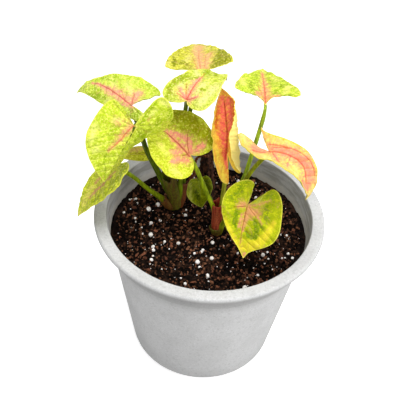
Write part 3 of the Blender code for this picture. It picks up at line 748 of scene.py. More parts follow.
def leaf_group():
    """Leaf colour: a mottled ground, deep and pale patches, a blush, veins and a thin rim."""
    tree, given, out = new_group(
        "leaf_colours",
        [(name, "Color", (0.5, 0.5, 0.5, 1)) for name in LEAF_TONES]
        + [("Mottle", "Float", 0.0), ("Ragged", "Float", 1.4), ("Speckle", "Float", 1.0),
           ("Offset", "Vector", (0, 0, 0))],
        (("Color", "Color"), ("Height", "Float")))
    get = given.outputs
    shift = tree.nodes.new("ShaderNodeVectorMath")
    put(shift.inputs[0], object_place(tree), tree)
    put(shift.inputs[1], get["Offset"], tree)
    place = shift.outputs[0]
    cloud = grain(tree, place, 170, 2.0, 0.6)
    fleck = grain(tree, place, 560, 3.0, 0.7)
    dot = grain(tree, place, 1500, 2.0, 0.7)
    speck = grain(tree, place, 820, 2.0, 0.6)
    side = field(tree, "side_vein")
    near = maths(tree, "FRACT", maths(tree, "ADD", side, VEIN_SHIFT))
    near = maths(tree, "ABSOLUTE", maths(tree, "SUBTRACT", near, 0.5))
    near = maths(tree, "MULTIPLY", near, field(tree, "vein_gap"))
    rim = field(tree, "rim")
    vein = field(tree, "vein")

    def mask(name, low, high, ragged):
        """The field's edge, broken up by clouds and flecks."""
        rough = maths(tree, "MULTIPLY_ADD", fleck, 1.5, maths(tree, "MULTIPLY", cloud, 0.7))
        rough = maths(tree, "SUBTRACT", maths(tree, "MULTIPLY_ADD", dot, 0.8, rough), 1.5)
        value = maths(tree, "MULTIPLY_ADD", rough, ragged, field(tree, name))
        return soft_step(tree, value, low, high)

    weave = maths(tree, "MULTIPLY_ADD", fleck, 1.5, maths(tree, "MULTIPLY", cloud, 0.5))
    weave = maths(tree, "MULTIPLY_ADD", dot, 0.9, weave)
    between = soft_step(tree, near, 0.0, 2.0, 0.0, 0.12)
    mottle = maths(tree, "ADD", maths(tree, "ADD", weave, between), get["Mottle"])
    colour = blend(tree, soft_step(tree, mottle, 1.28, 1.6), get["Light"], get["Green"])
    pale = maths(tree, "MULTIPLY", mask("pale", 0.15, 1.1, 1.2), 0.8)
    colour = blend(tree, pale, colour, get["Pale"])
    colour = blend(tree, mask("deep", 0.15, 0.8, get["Ragged"]), colour, get["Deep"])
    blush = mask("blush", 0.0, 1.0, 1.1)
    colour = blend(tree, blush, colour, get["Blush"])
    flecked = maths(tree, "MULTIPLY_ADD", blush, -0.5, 1.0)
    flecked = maths(tree, "MULTIPLY", flecked, get["Speckle"])
    for low, high, shade in ((0.5, 0.62, "Light"), (0.56, 0.7, "Pale"), (0.5, 0.36, "Deep")):
        dots = maths(tree, "MULTIPLY", soft_step(tree, speck, low, high, 0.0, 0.65), flecked)
        colour = blend(tree, dots, colour, get[shade])
    side_line = soft_step(tree, near, 0.1, 0.5, 1.0, 0.0)
    side_line = maths(tree, "MULTIPLY", side_line, maths(tree, "MULTIPLY_ADD", blush, 0.22, 0.0))
    lines = maths(tree, "MAXIMUM", side_line, soft_step(tree, vein, 0.05, 1.0, 0.0, 0.8))
    colour = blend(tree, lines, colour, get["Vein"])
    edge = soft_step(tree, rim, 0.2, 0.8, 0.7, 0.0)
    colour = blend(tree, edge, colour, get["Rim"])
    tree.links.new(colour, out.inputs["Color"])
    height = maths(tree, "MULTIPLY_ADD", dot, 0.45, maths(tree, "MULTIPLY", fleck, 0.9))
    groove = soft_step(tree, near, 0.0, 0.9, 0.0, 0.6)
    tree.links.new(maths(tree, "ADD", height, groove), out.inputs["Height"])
    return tree


LEAF_COLOURS = leaf_group()

# A leaf's paint: seven screen colours, how green the mottle runs, then the brush strokes of the
# blush, the deep green and pale patches and the veins, on the flat blade in mm. Then how ragged
# the deep patches are, how strong the specks, the underside's colour, and the patches' edge.
Paint = namedtuple("Paint", "light green deep blush pale vein rim mottle blushes deeps pales "
                            "veins ragged speckle under edge", defaults=(1.3, 0.9, None, 2.0))
PAINTS = {
    "leaf_top": Paint(
        (222, 214, 90), (184, 188, 28), (126, 132, 0), (236, 176, 126), (242, 230, 134),
        (206, 116, 78), (222, 220, 80), 0.0,
        [[(0, 1, 4), (12, 1, 4.5), (28, 1.5, 5), (42, 0.5, 3)], [(0, -2, 3), (20, -4.5, 4)]],
        # Its first deep stroke darkens the outer right half up to a sharp edge: partly the blade's
        # own olive, partly painted shade where that half turns away from the light.
        [[0.68, (-1, -11, 8), (8, -13.4, 7.6), (18, -14.4, 5.7), (26, -12.4, 1.6)],
         [0.8, (3, 17.5, 1), (7, 17.5, 2), (10, 16.5, 1.4), (16, 18, 0.7)],
         [0.7, (5, 15, 1), (8, 12, 2), (6, 9.5, 1.6)], [0.45, (-1, 14, 2), (0, 10, 2.6), (4, 7, 2)],
         [0.4, (16, 14.5, 0.8), (24, 14, 1)], [0.4, (32, 9.5, 1.6), (36, 7.5, 1.2)]],
        [[(4, 21, 2), (8, 22, 2)], [(10, 10, 2.5), (18, 7, 2)], [(30, -5, 2), (38, -3, 2)],
         [(32, 3, 2), (40, 3, 1.5)]],
        [[(0, 1.2, 0.6), (15, 1.6, 0.5), (30, 1, 0.3)], [(1, 3, 0.5), (14, 5.5, 0.4)],
         [(2, -1.5, 0.4), (20, -3, 0.3)]], 0.3, 0.7, None, 6.0),
    "leaf_back_left": Paint(
        (218, 232, 100), (184, 208, 44), (148, 180, 18), (240, 152, 138), (244, 242, 142),
        (184, 60, 48), (234, 234, 90), 0.0,
        [[(0, 0, 3), (12, -2.2, 3.8), (20, -4, 3.2), (28, -5.5, 1.6), (36, -5.5, 1)],
         [(1, -1, 3.5), (2, -6, 4.4), (2.5, -12, 3)], [0.8, (3, -4, 4), (10, -5, 3.6), (19, -7, 2)],
         [(1, 1.5, 1.5), (6, 2, 1)]],
        [[(20, 2, 1.5), (26, 3, 2), (33, 3.5, 1.5)], [0.8, (-7, 4, 3), (-1, 2.5, 2)],
         [0.7, (22, -12.5, 1), (27, -12, 1.5), (33, -12, 1)], [(27, -2, 1.2), (33, -1, 1)],
         [0.6, (5, 5, 1), (12, 3, 1)], [0.6, (20, -16, 1.5), (27, -16, 1.2)],
         [0.7, (1, -20, 2), (3, -22, 1.5)], [0.5, (40, -2, 1.5), (46, 0, 1.5)]],
        [[(-12, 4, 2), (-10, 2, 1.5)], [(8, 5, 3), (18, 4, 2.5)], [(6, -9, 2.5), (14, -14, 3)],
         [(20, -9, 2.5), (26, -13, 2)], [(38, -3, 2), (44, 0, 1.5)]],
        [[(0, 0, 0.9), (5, -1, 0.9), (12, -3, 0.8), (20, -4.6, 0.8), (28, -5.8, 0.6),
          (36, -5.5, 0.4)], [(0, -1, 0.5), (4, -9, 0.45)], [(6, -1.5, 0.4), (14, -8, 0.3)]]),
    "leaf_upper_middle": Paint(
        (224, 230, 104), (184, 202, 42), (152, 172, 6), (240, 154, 138), (246, 242, 160),
        (208, 64, 58), (238, 238, 110), -0.05,
        [[(0, 0, 3.2), (10, 1.5, 3), (19, 2, 1.6)], [(1, 2, 2.5), (5, 7, 3)],
         [(0, -1, 2), (3.5, -6, 2)]],
        [[(-2, 13, 2), (6, 14.5, 2.5), (14, 14, 3)], [(14, 11, 4.5), (17, 12, 5)],
         [(16, 7, 2.5), (18, 4, 2)], [(27, 3, 4), (33, 8, 3)], [(25, -5, 1.5), (31, 0, 3)],
         [(20, -11, 1.2), (24, -12, 1)], [(9, -8, 1), (9.5, -5, 1)]],
        [[(6, -4, 3), (14, -4, 3)], [(0, -11, 4), (12, -13, 4)], [(7, 9, 2.5), (11, 9, 2)],
         [(21, 6, 2.5), (24, 9, 2)]],
        [[(0, 0, 1), (10, 1, 0.8), (20, 2, 0.6), (26, 4, 0.3)], [(0, 0, 0.6), (2.4, 8, 0.5)],
         [(1, 1, 0.5), (7, 4.5, 0.45), (11, 6.5, 0.3)], [(0.5, -0.5, 0.7), (4, -9, 0.4)]]),
    "leaf_front_left": Paint(
        (216, 226, 84), (182, 204, 32), (152, 180, 10), (232, 152, 118), (244, 244, 136),
        (206, 104, 64), (230, 234, 90), 0.0,
        [[(1, -2, 3.2), (6, -3.2, 2.8)], [0.75, (6, -3.2, 3.4), (14, -5, 2.4), (20, -7.3, 1.2)],
         [0.5, (0, -4, 3), (2, -10, 3.4)], [0.4, (-9, 7, 1), (-6, 7, 1)]],
        [[(-18, 6, 1.5), (-10, 3.2, 1.2), (-3, 3.5, 1.5)], [(-10, 13, 2), (-6, 14, 2)],
         [(-18, 17, 2), (-14, 19, 2)], [(0, 11, 3), (6, 12, 3)], [(1, 5, 2.5), (8, 7, 2)],
         [(5, -8, 1), (8, -11, 1)], [(20, -7.5, 0.6), (26, -7, 0.6), (33, -2.8, 0.6), (40, 0, 0.6)],
         [(13, -1, 0.6), (16, -4, 0.6)]],
        [[(-14, 8, 2), (-10, 6, 1.5)], [(21, -14, 2.5), (23, -15, 2)], [(0, -10, 1.5), (2, -12, 2)],
         [(10, -21, 3), (18, -19, 2)], [(-20, 10, 2), (-21, 13, 2)]],
        [[(0, -0.5, 0.8), (3, -2, 0.8), (11, -3.4, 0.7), (16, -5.5, 0.6), (20, -7.5, 0.4)]]),
    "leaf_back_right": Paint(
        (210, 222, 80), (166, 194, 36), (138, 166, 8), (236, 154, 120), (242, 236, 128),
        (208, 76, 60), (228, 228, 90), 0.0,
        [[(3, 0, 2), (9, 0, 3.6), (16, 0, 4), (26, 0, 2.6), (42, 0.5, 1.4)],
         [(8, -3, 2), (10.5, -8, 1.2)], [(8, 3, 2), (12, 4.5, 2)]],
        [[(10, 6, 1.6), (13, 7.5, 3), (15.5, 7, 1)],
         [(10.3, -9, 0.8), (11.5, -15, 1.6), (12, -18, 1)],
         [(15, 9.5, 1), (24, 8.5, 1.3)], [(13, -5, 1.3), (18, -7, 1.6)],
         [(17, -10.5, 0.8), (26, -10.5, 1.2)], [(30, -4, 1), (33, -4, 1)],
         [(33, 5, 1), (38, 4, 1)]],
        [[(14, -12, 2), (22, -15, 3)], [(18, 13, 3), (24, 14, 3)], [(44, 0, 2), (46, 0, 2)],
         [(32, -8, 2.5), (38, -6, 2)]],
        [[(2, 0, 0.7), (6, 0, 0.9), (16, 0, 0.8), (26, 0.2, 0.6), (42, 0.4, 0.4)],
         [(7, 1, 0.4), (22, 4.5, 0.35)], [(7, -1, 0.5), (11, -8, 0.4)]]),
    "leaf_right": Paint(
        (236, 208, 108), (236, 176, 116), (208, 198, 44), (236, 138, 120), (246, 230, 140),
        (212, 80, 66), (214, 202, 68), -0.03,
        [[(-9, -4, 4), (-3, -1.5, 2.2), (0, 1, 2)],
         [(0, 2, 3), (10, 4, 4.5), (20, 6, 4.5), (30, 4, 4.5), (34, -1, 4)],
         [(3, -1, 2), (7, -5, 2.5)], [(27, -4, 3), (31, -3, 3)], [(13, -2, 1.2), (13.5, -6, 0.8)]],
        [[(22, 11, 0.8), (28, 9, 0.8)], [(36, -1, 1), (38, 0, 1)],
         [0.8, (-7, 12, 1.6), (0, 10.5, 1.8), (7, 10.8, 1.4), (14, 11.6, 0.8)],
         [0.6, (-18, -9, 1.5), (-10, -14, 1.2), (0, -14.6, 1), (10, -13, 1), (22, -9, 1)]],
        [[(-20, -4, 3.5), (-18, -8, 4)], [(-2, -6, 2.2), (2, -9, 4), (6, -11, 3)],
         [(14, 0, 1.5), (20, -1, 2.5)], [(17, -6, 3), (20, -6, 2.5)],
         [(-5, 11, 1.5), (5, 9, 1.8), (10, 9.5, 1.2)], [(37, 1, 2.5), (42, 0, 2)],
         [(33, 5, 1), (38, 4, 1.2)]],
        [[(0, 0, 0.8), (5, 1.7, 0.9), (10, 3, 0.8), (16, 4.2, 0.9), (22, 4, 0.9), (27, 1.8, 0.8),
          (30, 0.3, 0.6)], [(2, 0, 0.6), (4, -3, 0.7), (8, -6, 0.5)],
         [(-9, -7, 1.2), (-6, -4.5, 0.8), (-2, -1.5, 0.5)],
         [(-2, 4, 0.6), (6, 6, 0.6), (14, 8.3, 0.6), (22, 9.3, 0.6), (30, 7, 0.5)],
         [(1, 3, 0.5), (9, 6.5, 0.5)], [(27, -1, 0.5), (25, -6, 0.4)],
         [(31, 0, 0.5), (34, -3, 0.4)],
         [(12, 3, 0.4), (13, -1, 0.4), (11, -4, 0.3)]], 1.5, 0.6),
    "leaf_folded": Paint(
        (242, 204, 72), (234, 152, 60), (216, 120, 36), (236, 104, 92), (242, 230, 84),
        (166, 26, 28), (244, 220, 90), 0.0,
        [[(-11, 1.3, 1.2), (-4, 1.6, 1.6), (3, 2, 2.6), (12, 2, 3.6), (22, 1, 3.6), (32, 0, 3)],
         [(12, -2.5, 3), (22, -5, 4), (30, -4, 3.5)]],
        [[(20, -8, 2), (25, -11, 3), (31, -6, 1.5)],
         [(14, 6.5, 1.2), (20, 6, 1.5), (26, 3.5, 1.5)]],
        [[(-20, 4, 2), (-12, 5, 2.5), (-5, 6.5, 2.8), (5, 8.5, 2.4), (16, 8, 1.6), (26, 5.5, 1.2)],
         [(-14, -8, 5), (-6, -3, 3)]],
        [[(-6, 1.4, 0.8), (0, 0.4, 1.3), (10, -0.8, 1.2), (20, -0.8, 1), (30, -0.6, 0.7)]],
        1.0, 0.5, (240, 224, 132)),
    "leaf_middle": Paint(
        (212, 220, 70), (172, 188, 24), (160, 166, 0), (238, 142, 126), (242, 238, 118),
        (156, 54, 22), (222, 226, 64), 0.0,
        [[(-2, 4, 2), (0, 6, 3.6), (3, 10, 3), (4, 14, 1.4)], [(5, 5, 3), (8, 9, 2.4)],
         [(0, 1, 3.4), (10, 1.5, 3), (20, 1, 2)],
         [(1, -2, 3.2), (6, -4, 3.6), (10, -4, 3), (18, -1, 1.8)], [(0, -4, 3), (-1, -10, 2.6)]],
        [[(-4, -16, 3), (4, -15, 5), (12, -14, 5.5), (20, -12, 4.5), (26, -10, 2)],
         [(12, -8, 1.5), (16, -6, 1.5)]],
        [[(-5, 15, 3), (0, 17, 3)], [(10, 12, 2.5), (16, 11, 2.5)]],
        [[(-1, 1.2, 0.9), (5, 1.3, 1.1), (12, 1.5, 1), (20, 1.8, 0.7), (23, 2.5, 0.3)],
         [(1, 0, 0.6), (4, -1.5, 0.6), (10, -7, 0.4)], [(1, 2, 0.6), (2.5, 5, 0.7)]]),
    # The small leaf's tones are all much darker than the others': partly its own deep green, partly
    # painted shade, as it sits low among the other leaves.
    "leaf_small": Paint(
        (124, 132, 4), (96, 108, 0), (60, 74, 0), (140, 120, 40), (160, 162, 70),
        (150, 160, 70), (150, 156, 60), 0.0, [],
        [[(2, 5, 2), (10, 6, 2)], [(6, -3, 2), (12, -2, 1.5)]], [[(0, -7, 1.5), (10, -8, 1.5)]],
        [[(0, 0, 0.3), (18, 0, 0.2)]], 1.3, 0.35),
    "leaf_front": Paint(
        (206, 210, 28), (166, 182, 8), (118, 150, 4), (236, 166, 112), (250, 228, 56),
        (156, 84, 24), (240, 234, 90), 0.02,
        [[(0, 1, 2.5), (4, 2.5, 4), (3, 6.5, 3)], [0.7, (-1, 4, 1.5), (-4, 10, 1.1), (-6, 13, 0.8)],
         [(5, 1, 2.5), (12, 0, 2.2), (16, -0.5, 1.2)], [0.6, (16, -0.5, 1), (24, -2, 0.9)],
         [(0, -2, 2.5), (2, -5, 1.6)], [0.8, (5, 7.5, 1.2), (9, 11.5, 0.8)],
         [(6, -2, 1), (14, -3, 1.2)], [(30, 1, 1.4), (34, 0, 2.2)]],
        [[0.5, (-12, 16, 2.5), (-9, 13, 3), (-5, 9, 2)],
         [0.6, (-3, 12, 2), (2, 12, 2.2), (5, 14, 2)],
         [(8, 6.5, 1.5), (13, 8.5, 2), (18, 8, 1.8), (19, 4, 1.5), (16, 1.5, 0.8)],
         [0.6, (-14, -6, 3), (-6, -8, 3.4), (-2, -11, 3)],
         [(5, -5.5, 1.6), (12, -6, 2), (15, -5, 1)],
         [0.7, (9, 10, 1.5), (12, 12, 1.5)]],
        [[1.3, (26, -1, 3), (25, 5, 4), (21, 10, 3.6), (15, 15, 2.6), (6, 19, 1.8)],
         [1.2, (27, -3, 2.4), (20, -8, 2.8), (12, -12, 2)], [0.8, (22, 1, 2.4), (19, 11, 2.6)]],
        [[(1, 0, 0.6), (10, -0.4, 0.55), (18, -1.2, 0.5), (26, -2, 0.35)],
         [(1, 1, 0.4), (6, 7, 0.4)], [(1, -1, 0.5), (3, -8, 0.5)], [(14, 0.5, 0.35), (17, 4, 0.3)]],
        1.2, 0.3),
    "leaf_low_left": Paint(
        (214, 220, 72), (178, 192, 30), (140, 156, 6), (206, 146, 104), (246, 232, 116),
        (176, 100, 70), (220, 220, 80), 0.0,
        [[(4, 3, 2), (8, 3.5, 2.5), (15, 3, 1.5)], [(16, 2, 2), (22, 1, 2), (26, 0, 1.5)],
         [(14, -4, 1.5), (18, -5, 1.2)]],
        [[(-5, 10, 3), (-2, 4, 2.5)], [(-3, 13, 3), (4, 12, 3.5), (8, 10, 2.5)],
         [(20, 9, 1.5), (26, 7, 1.5)], [(10, 15, 2), (15, 14, 2)]],
        [[(26, -3, 3), (33, -1, 2.5)], [(20, -3, 2), (25, -6, 2)], [(37, 1, 1.5), (40, 0, 1.5)]],
        [[(4, 2.5, 0.6), (15, 3, 0.5)]]),
    "leaf_hidden": Paint(
        (206, 208, 56), (172, 176, 20), (140, 140, 0), (200, 166, 90), (220, 210, 90),
        (170, 120, 70), (200, 190, 90), 0.0, [[(2, -4, 1.5), (10, -3, 2)]],
        [[(1, -1, 2), (6, -1, 1.5)]], [[(14, 0, 2), (20, 0, 2)]], [[(0, 0, 0.4), (20, 0, 0.3)]]),
}


def leaf_material(name, paint, under):
    """The blade's upper skin, or its underside, which keeps a share of each colour.

    The rest of it is one pale olive, and the veins keep less than the other colours.
    """
    material, tree, skin = new_material(name, 0.55 if under else 0.38, 0.18)
    pale = np.array((186, 192, 96) if paint.under is None else paint.under)
    keep = 1.0 if not under else 0.12 if paint.under else 0.45

    offset = tuple(random.uniform(-1, 1, 3))
    tones = {}
    for tone, colour in zip(LEAF_TONES, paint):
        share = keep * 0.6 if under and tone == "Vein" else keep
        tones[tone] = srgb(*(np.array(colour) * share + pale * (1 - share)))
    paints = use_group(tree, LEAF_COLOURS, Mottle=paint.mottle, Ragged=paint.ragged,
                       Speckle=paint.speckle, Offset=offset, **tones)
    dress(tree, skin, paints.outputs["Color"], paints.outputs["Height"], 0.6, 0.0006)
    skin.inputs["Specular Tint"].default_value = (1, 1, 0.35, 1)
    return material


def make_leaf(name, leaf, paint, seed):
    """A blade with creases along its veins, swollen between them, and a gently waved margin.

    Its relief in mm is a dip of exp(-(distance to a side vein) ** 2), the veins' own strokes,
    random hills away from the midrib, and two sine waves that grow as width ** 2. A leaf under
    FULL_RELIEF_LENGTH has less of it.
    """
    x, y, rim = flat_blade(leaf)
    rolls = np.random.default_rng(seed)
    out = np.abs(y) / np.where(y >= 0, leaf.left.width, leaf.right.width)
    size = min(1.0, leaf.length / FULL_RELIEF_LENGTH)
    line, gap = side_veins(x, y)
    near = np.abs((line + VEIN_SHIFT) % 1 - 0.5) * gap
    vein = strokes(x, y, paint.veins, 2.0, 0.7)
    creases = -CREASE_DEPTH * np.exp(-near ** 2) * np.clip(rim / 4, 0, 1) - VEIN_DEPTH * vein
    phase = rolls.uniform(0, math.tau, 2)
    wave = np.sin(x * 0.42 + phase[0] + (y > 0) * 2) + 0.6 * np.sin(x * 0.83 + phase[1])
    swell = (BROAD_SWELL * bumps(x, y, 11, seed + 50)
             + FINE_SWELL * bumps(x, y, 4.5, seed + 70))
    crinkle = np.where(y < 0, leaf.right.crinkle, leaf.left.crinkle) * np.clip(out * 3 - 0.6, 0, 1)
    crinkle = crinkle * np.sin(2.5 * x + 0.12 * y + 1.6 * np.sin(0.8 * x))
    swell = swell * np.clip(np.abs(y) / 5, 0, 1)
    relief = crinkle + size * (creases + swell + WAVE_HEIGHT * wave * out ** 2)
    points = bend_blade(leaf, x, y, relief) * MM
    fields = {"side_vein": line, "vein_gap": gap, "rim": rim, "vein": vein,
              "blush": strokes(x, y, paint.blushes, 1.5),
              "deep": strokes(x, y, paint.deeps, paint.edge),
              "pale": strokes(x, y, paint.pales, 1.6)}
    upper = leaf_material(name + "_upper", paint, False)
    piece = surface(name + "_blade", points, upper, fields=fields)
    piece.data.materials.append(leaf_material(name + "_under", paint, True))
    solidify = piece.modifiers.new("thickness", "SOLIDIFY")
    solidify.thickness = BLADE_THICKNESS * MM
    solidify.offset = 0.0
    solidify.material_offset = 1
    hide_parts(name)
    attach(piece, "root")


for index, (name, leaf) in enumerate(LEAVES.items()):
    make_leaf(name, leaf, PAINTS[name], index)

# LEAF STALKS. Smooth round fleshy stalks, dark green to bright green, that widen downwards into
# sheaths and run on as a raised rib under each blade.
# Radii and heights in mm. RIB_SHARE is how much of the blade's length the rib runs under.
STALK_RADIUS = 1.4
SHEATH_RADIUS = 2.4
SHEATH_TOP_Z = 130.0
BROWN_Z = (112, 136)
RIB_SHARE = 0.72

# The middle line of each stalk in mm, from the soil up to its blade.
LEFT_STALKS = {
    "leaf_top": [
        (-22.0, 20.0, 105.0), (-20.0, 21.0, 116.0), (-19.0, 22.5, 130.0), (-18.0, 26.5, 160.0),
        (-17.5, 29.5, 178.0), (-14.5, 36.0, 194.5)],
    "leaf_back_left": [
        (-24.5, 19.5, 105.0), (-27.9, 19.5, 114.7), (-32.1, 20.0, 122.8), (-37.1, 21.5, 132.4),
        (-44.5, 24.0, 147.9), (-50.4, 26.5, 165.9)],
    "leaf_upper_middle": [
        (-22.5, 18.0, 105.0), (-20.8, 17.0, 119.0), (-20.8, 17.0, 129.0), (-20.8, 22.0, 157.0),
        (-20.5, 25.0, 176.0), (-20.0, 22.5, 187.5), (-19.4, 13.5, 197.0)],
    "leaf_front_left": [
        (-24.0, 18.5, 106.0), (-26.5, 17.0, 115.3), (-30.0, 16.8, 124.3), (-34.8, 16.5, 135.7),
        (-42.6, 13.0, 156.5), (-45.3, 8.5, 171.0), (-47.8, 1.0, 185.5)],
    "leaf_low_left": [
        (-25.0, 17.5, 104.0), (-30.1, 15.0, 112.2), (-34.6, 11.5, 119.5), (-41.8, 7.0, 129.9),
        (-48.8, 2.5, 141.4), (-55.5, -1.5, 150.5)],
    "leaf_hidden": [
        (-24.5, 20.5, 105.0), (-28.5, 23.0, 115.0), (-36.0, 27.5, 127.0), (-42.0, 28.5, 135.5)],
}
RIGHT_STALKS = {
    "leaf_back_right": [
        (6.5, -2.0, 106.0), (9.0, -0.5, 120.0), (15.0, 2.0, 136.5), (19.6, 4.0, 148.3),
        (24.1, 7.5, 171.3), (27.2, 10.5, 189.0)],
    "leaf_right": [
        (7.0, -3.0, 106.0), (12.0, -4.5, 127.0), (18.0, -5.0, 148.0), (23.5, -7.5, 164.5),
        (28.5, -12.0, 178.0)],
    "leaf_folded": [(6.3, -2.0, 108.0), (6.9, -1.0, 126.3), (7.6, 1.5, 140.0), (8.1, 5.5, 157.0)],
    "leaf_middle": [
        (5.0, -3.0, 110.0), (2.1, -3.0, 126.0), (-1.7, -3.0, 135.2), (-5.0, -3.0, 144.3),
        (-11.9, -2.8, 161.5)],
    "leaf_small": [(5.5, -1.0, 106.0), (3.0, 3.0, 117.0), (-2.0, 8.0, 129.0), (-7.0, 9.0, 139.0)],
    "leaf_front": [
        (6.8, -3.5, 105.0), (9.0, -7.0, 117.0), (13.0, -11.0, 128.5), (18.5, -16.0, 142.0)],
}
STALK_COLOURS = {
    "leaf_top": (98, 116, 14), "leaf_back_left": (84, 102, 10),
    "leaf_upper_middle": (102, 120, 16), "leaf_front_left": (78, 94, 8),
    "leaf_low_left": (124, 142, 14), "leaf_hidden": (120, 120, 20),
    "leaf_back_right": (140, 162, 38), "leaf_right": (134, 142, 20), "leaf_folded": (148, 150, 40),
    "leaf_middle": (134, 152, 18), "leaf_small": (100, 118, 14), "leaf_front": (124, 142, 14),
}


def smooth_path(points, per_span):
    """Points on the Catmull-Rom curve through the given points."""
    knots = np.array(points, dtype=float)
    knots = np.vstack((2 * knots[0] - knots[1], knots, 2 * knots[-1] - knots[-2]))
    t = (np.arange(per_span) / per_span)[:, None]
    spans = [0.5 * (2 * b + (c - a) * t + (2 * a - 5 * b + 4 * c - d) * t ** 2
                    + (3 * b - a - 3 * c + d) * t ** 3)
             for a, b, c, d in zip(knots, knots[1:], knots[2:], knots[3:])]
    return np.vstack((*spans, knots[-2]))


def tube(path, radius, across, sides=16, ripple=0.0):
    """Rings of the given radii round a path, closed by a point at each end.

    The frame at each ring comes from the path's direction and one direction across it. ripple
    raises five shallow ribs along it, as 1 + ripple * cos(5 a).
    """
    forward = np.gradient(path, axis=0)
    forward /= np.linalg.norm(forward, axis=1)[:, None]
    side = np.cross(forward, across)
    side /= np.linalg.norm(side, axis=1)[:, None]
    other = np.cross(side, forward)
    a = np.linspace(0, math.tau, sides, endpoint=False)
    r = np.array(radius)[:, None] * (1 + ripple * np.cos(5 * a))
    rings = (path[:, None] + (r * np.cos(a))[..., None] * side[:, None]
             + (r * np.sin(a))[..., None] * other[:, None])
    first = np.repeat(path[:1, None], sides, 1)
    last = np.repeat(path[-1:, None], sides, 1)
    return np.concatenate((first, rings, last))


def stalk_material(name, colour):
    """Smooth green skin with fine streaks, browner and duller towards the soil."""
    material, tree, skin = new_material(name, 0.45, 0.12)
    place = object_place(tree)
    streak = grain(tree, stretched_place(tree, 1.0, 0.12), 900, 2.0)
    cloud = grain(tree, place, 160, 2.0)
    base = np.array(colour)
    green = blend(tree, soft_step(tree, streak, 0.35, 0.65), srgb(*(base * 0.82)),
                  srgb(*np.minimum(base * 1.15, 255)))
    ragged = maths(tree, "MULTIPLY_ADD", cloud, 0.02, height_of(tree, place))
    brown = soft_step(tree, ragged, BROWN_Z[0] * MM, BROWN_Z[1] * MM, 1.0, 0.0)
    tint = blend(tree, maths(tree, "MULTIPLY", brown, 0.8), green, srgb(84, 58, 16))
    dress(tree, skin, tint, streak, 0.3, 0.0002)
    return material


def make_stalk(name, points, node):
    """A stalk up to its blade, then thinner and thinner along the midrib's underside.

    Its radius grows from STALK_RADIUS to SHEATH_RADIUS down the sheath, is less for a small
    leaf, and shrinks by about a third over the last 9 mm before the blade.
    """
    leaf = LEAVES[name]
    size = min(1.0, 0.4 + leaf.length / 60)
    run = np.linspace(0.0, RIB_SHARE, 12)
    under = -0.6 - size * 0.95 * (1 - run / RIB_SHARE)
    rib = bend_blade(leaf, run * leaf.length, 0 * run, under)
    route = smooth_path([*points, tuple(rib[0] - leaf_frame(leaf)[2] * 0.5), *rib[2:]], 6)
    sheath = np.clip((SHEATH_TOP_Z - route[:, 2]) / (SHEATH_TOP_Z - SOIL_CROWN_Z), 0, 1)
    radius = size * (STALK_RADIUS + (SHEATH_RADIUS - STALK_RADIUS) * sheath)
    near = np.linalg.norm(route - np.array(leaf.base), axis=1)
    start = int(near.argmin())
    tail = np.clip((np.arange(len(route)) - start) / (len(route) - 1 - start), 0, 1)
    swell = np.clip(1 - near / 9, 0, 1)
    radius = radius * (1 - 0.35 * swell)
    radius = np.where(tail > 0, size * (0.85 * (1 - tail) + 0.1), radius)
    material = stalk_material("stalk_skin_" + name, STALK_COLOURS[name])
    points = tube(route, radius, leaf_frame(leaf)[1]) * MM
    piece = surface(name + "_stalk", points, material, closed=True)
    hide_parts(node)
    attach(piece, "root")


for name, points in LEFT_STALKS.items():
    make_stalk(name, points, "shoot_left")
for name, points in RIGHT_STALKS.items():
    make_stalk(name, points, "shoot_right")

# SHEATHS. Papery red-brown and olive sheaths wrap the foot of each shoot. Each grows from the
# stem and is open at the top, where one side parts in a V.
SHEATH_THICKNESS = 0.5
SHEATH_SIDES = 36
OLIVE_SKIN, RED_SKIN, BROWN_SKIN = (98, 98, 16), (140, 44, 22), (104, 60, 18)


def sheath(name, path, radii, across, tops, colours, node, turn=0.0):
    """A tube open at the top, with streaks of the second colour over the first.

    Its rim is lowest at one side, rises as |sin(a / 2)| ** 0.7 round it, and is a little jagged.
    """
    route = smooth_path(path, 8)
    radius = np.interp(np.linspace(0, 1, len(route)), np.linspace(0, 1, len(radii)), radii)
    rings = tube(route, radius, across, sides=SHEATH_SIDES)[1:-1]
    a = np.linspace(0, math.tau, SHEATH_SIDES, endpoint=False) + turn
    low, high = tops
    top = low + (high - low) * np.abs(np.sin(a / 2)) ** 0.7
    top = np.clip(top + 0.02 * np.sin(5 * a) + 0.02 * np.sin(8 * a + 1), 0, 1)
    place = np.linspace(0, 1, len(route))[:, None] * top * (len(route) - 1)
    lower = np.minimum(place.astype(int), len(route) - 2)
    part = (place - lower)[..., None]
    column = np.arange(SHEATH_SIDES)[None, :]
    points = rings[lower, column] * (1 - part) + rings[lower + 1, column] * part
    material, tree, skin = new_material(name + "_skin", 0.6, 0.3)
    streak = grain(tree, stretched_place(tree, 1.0, 0.12), 800, 3.0, 0.65)
    ground, stripe = colours
    tint = blend(tree, soft_step(tree, streak, 0.42, 0.6), srgb(*ground), srgb(*stripe))
    fine = grain(tree, object_place(tree), 900, 2.0)
    tint = blend(tree, soft_step(tree, fine, 0.4, 0.7, 0.0, 0.5), tint, srgb(40, 22, 10))
    dress(tree, skin, tint, streak, 0.6, 0.0005)
    piece = surface(name, points * MM, material, closed=True)
    shell = piece.modifiers.new("thickness", "SOLIDIFY")
    shell.thickness = SHEATH_THICKNESS * MM
    shell.offset = -1
    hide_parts(node)
    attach(piece, "root")


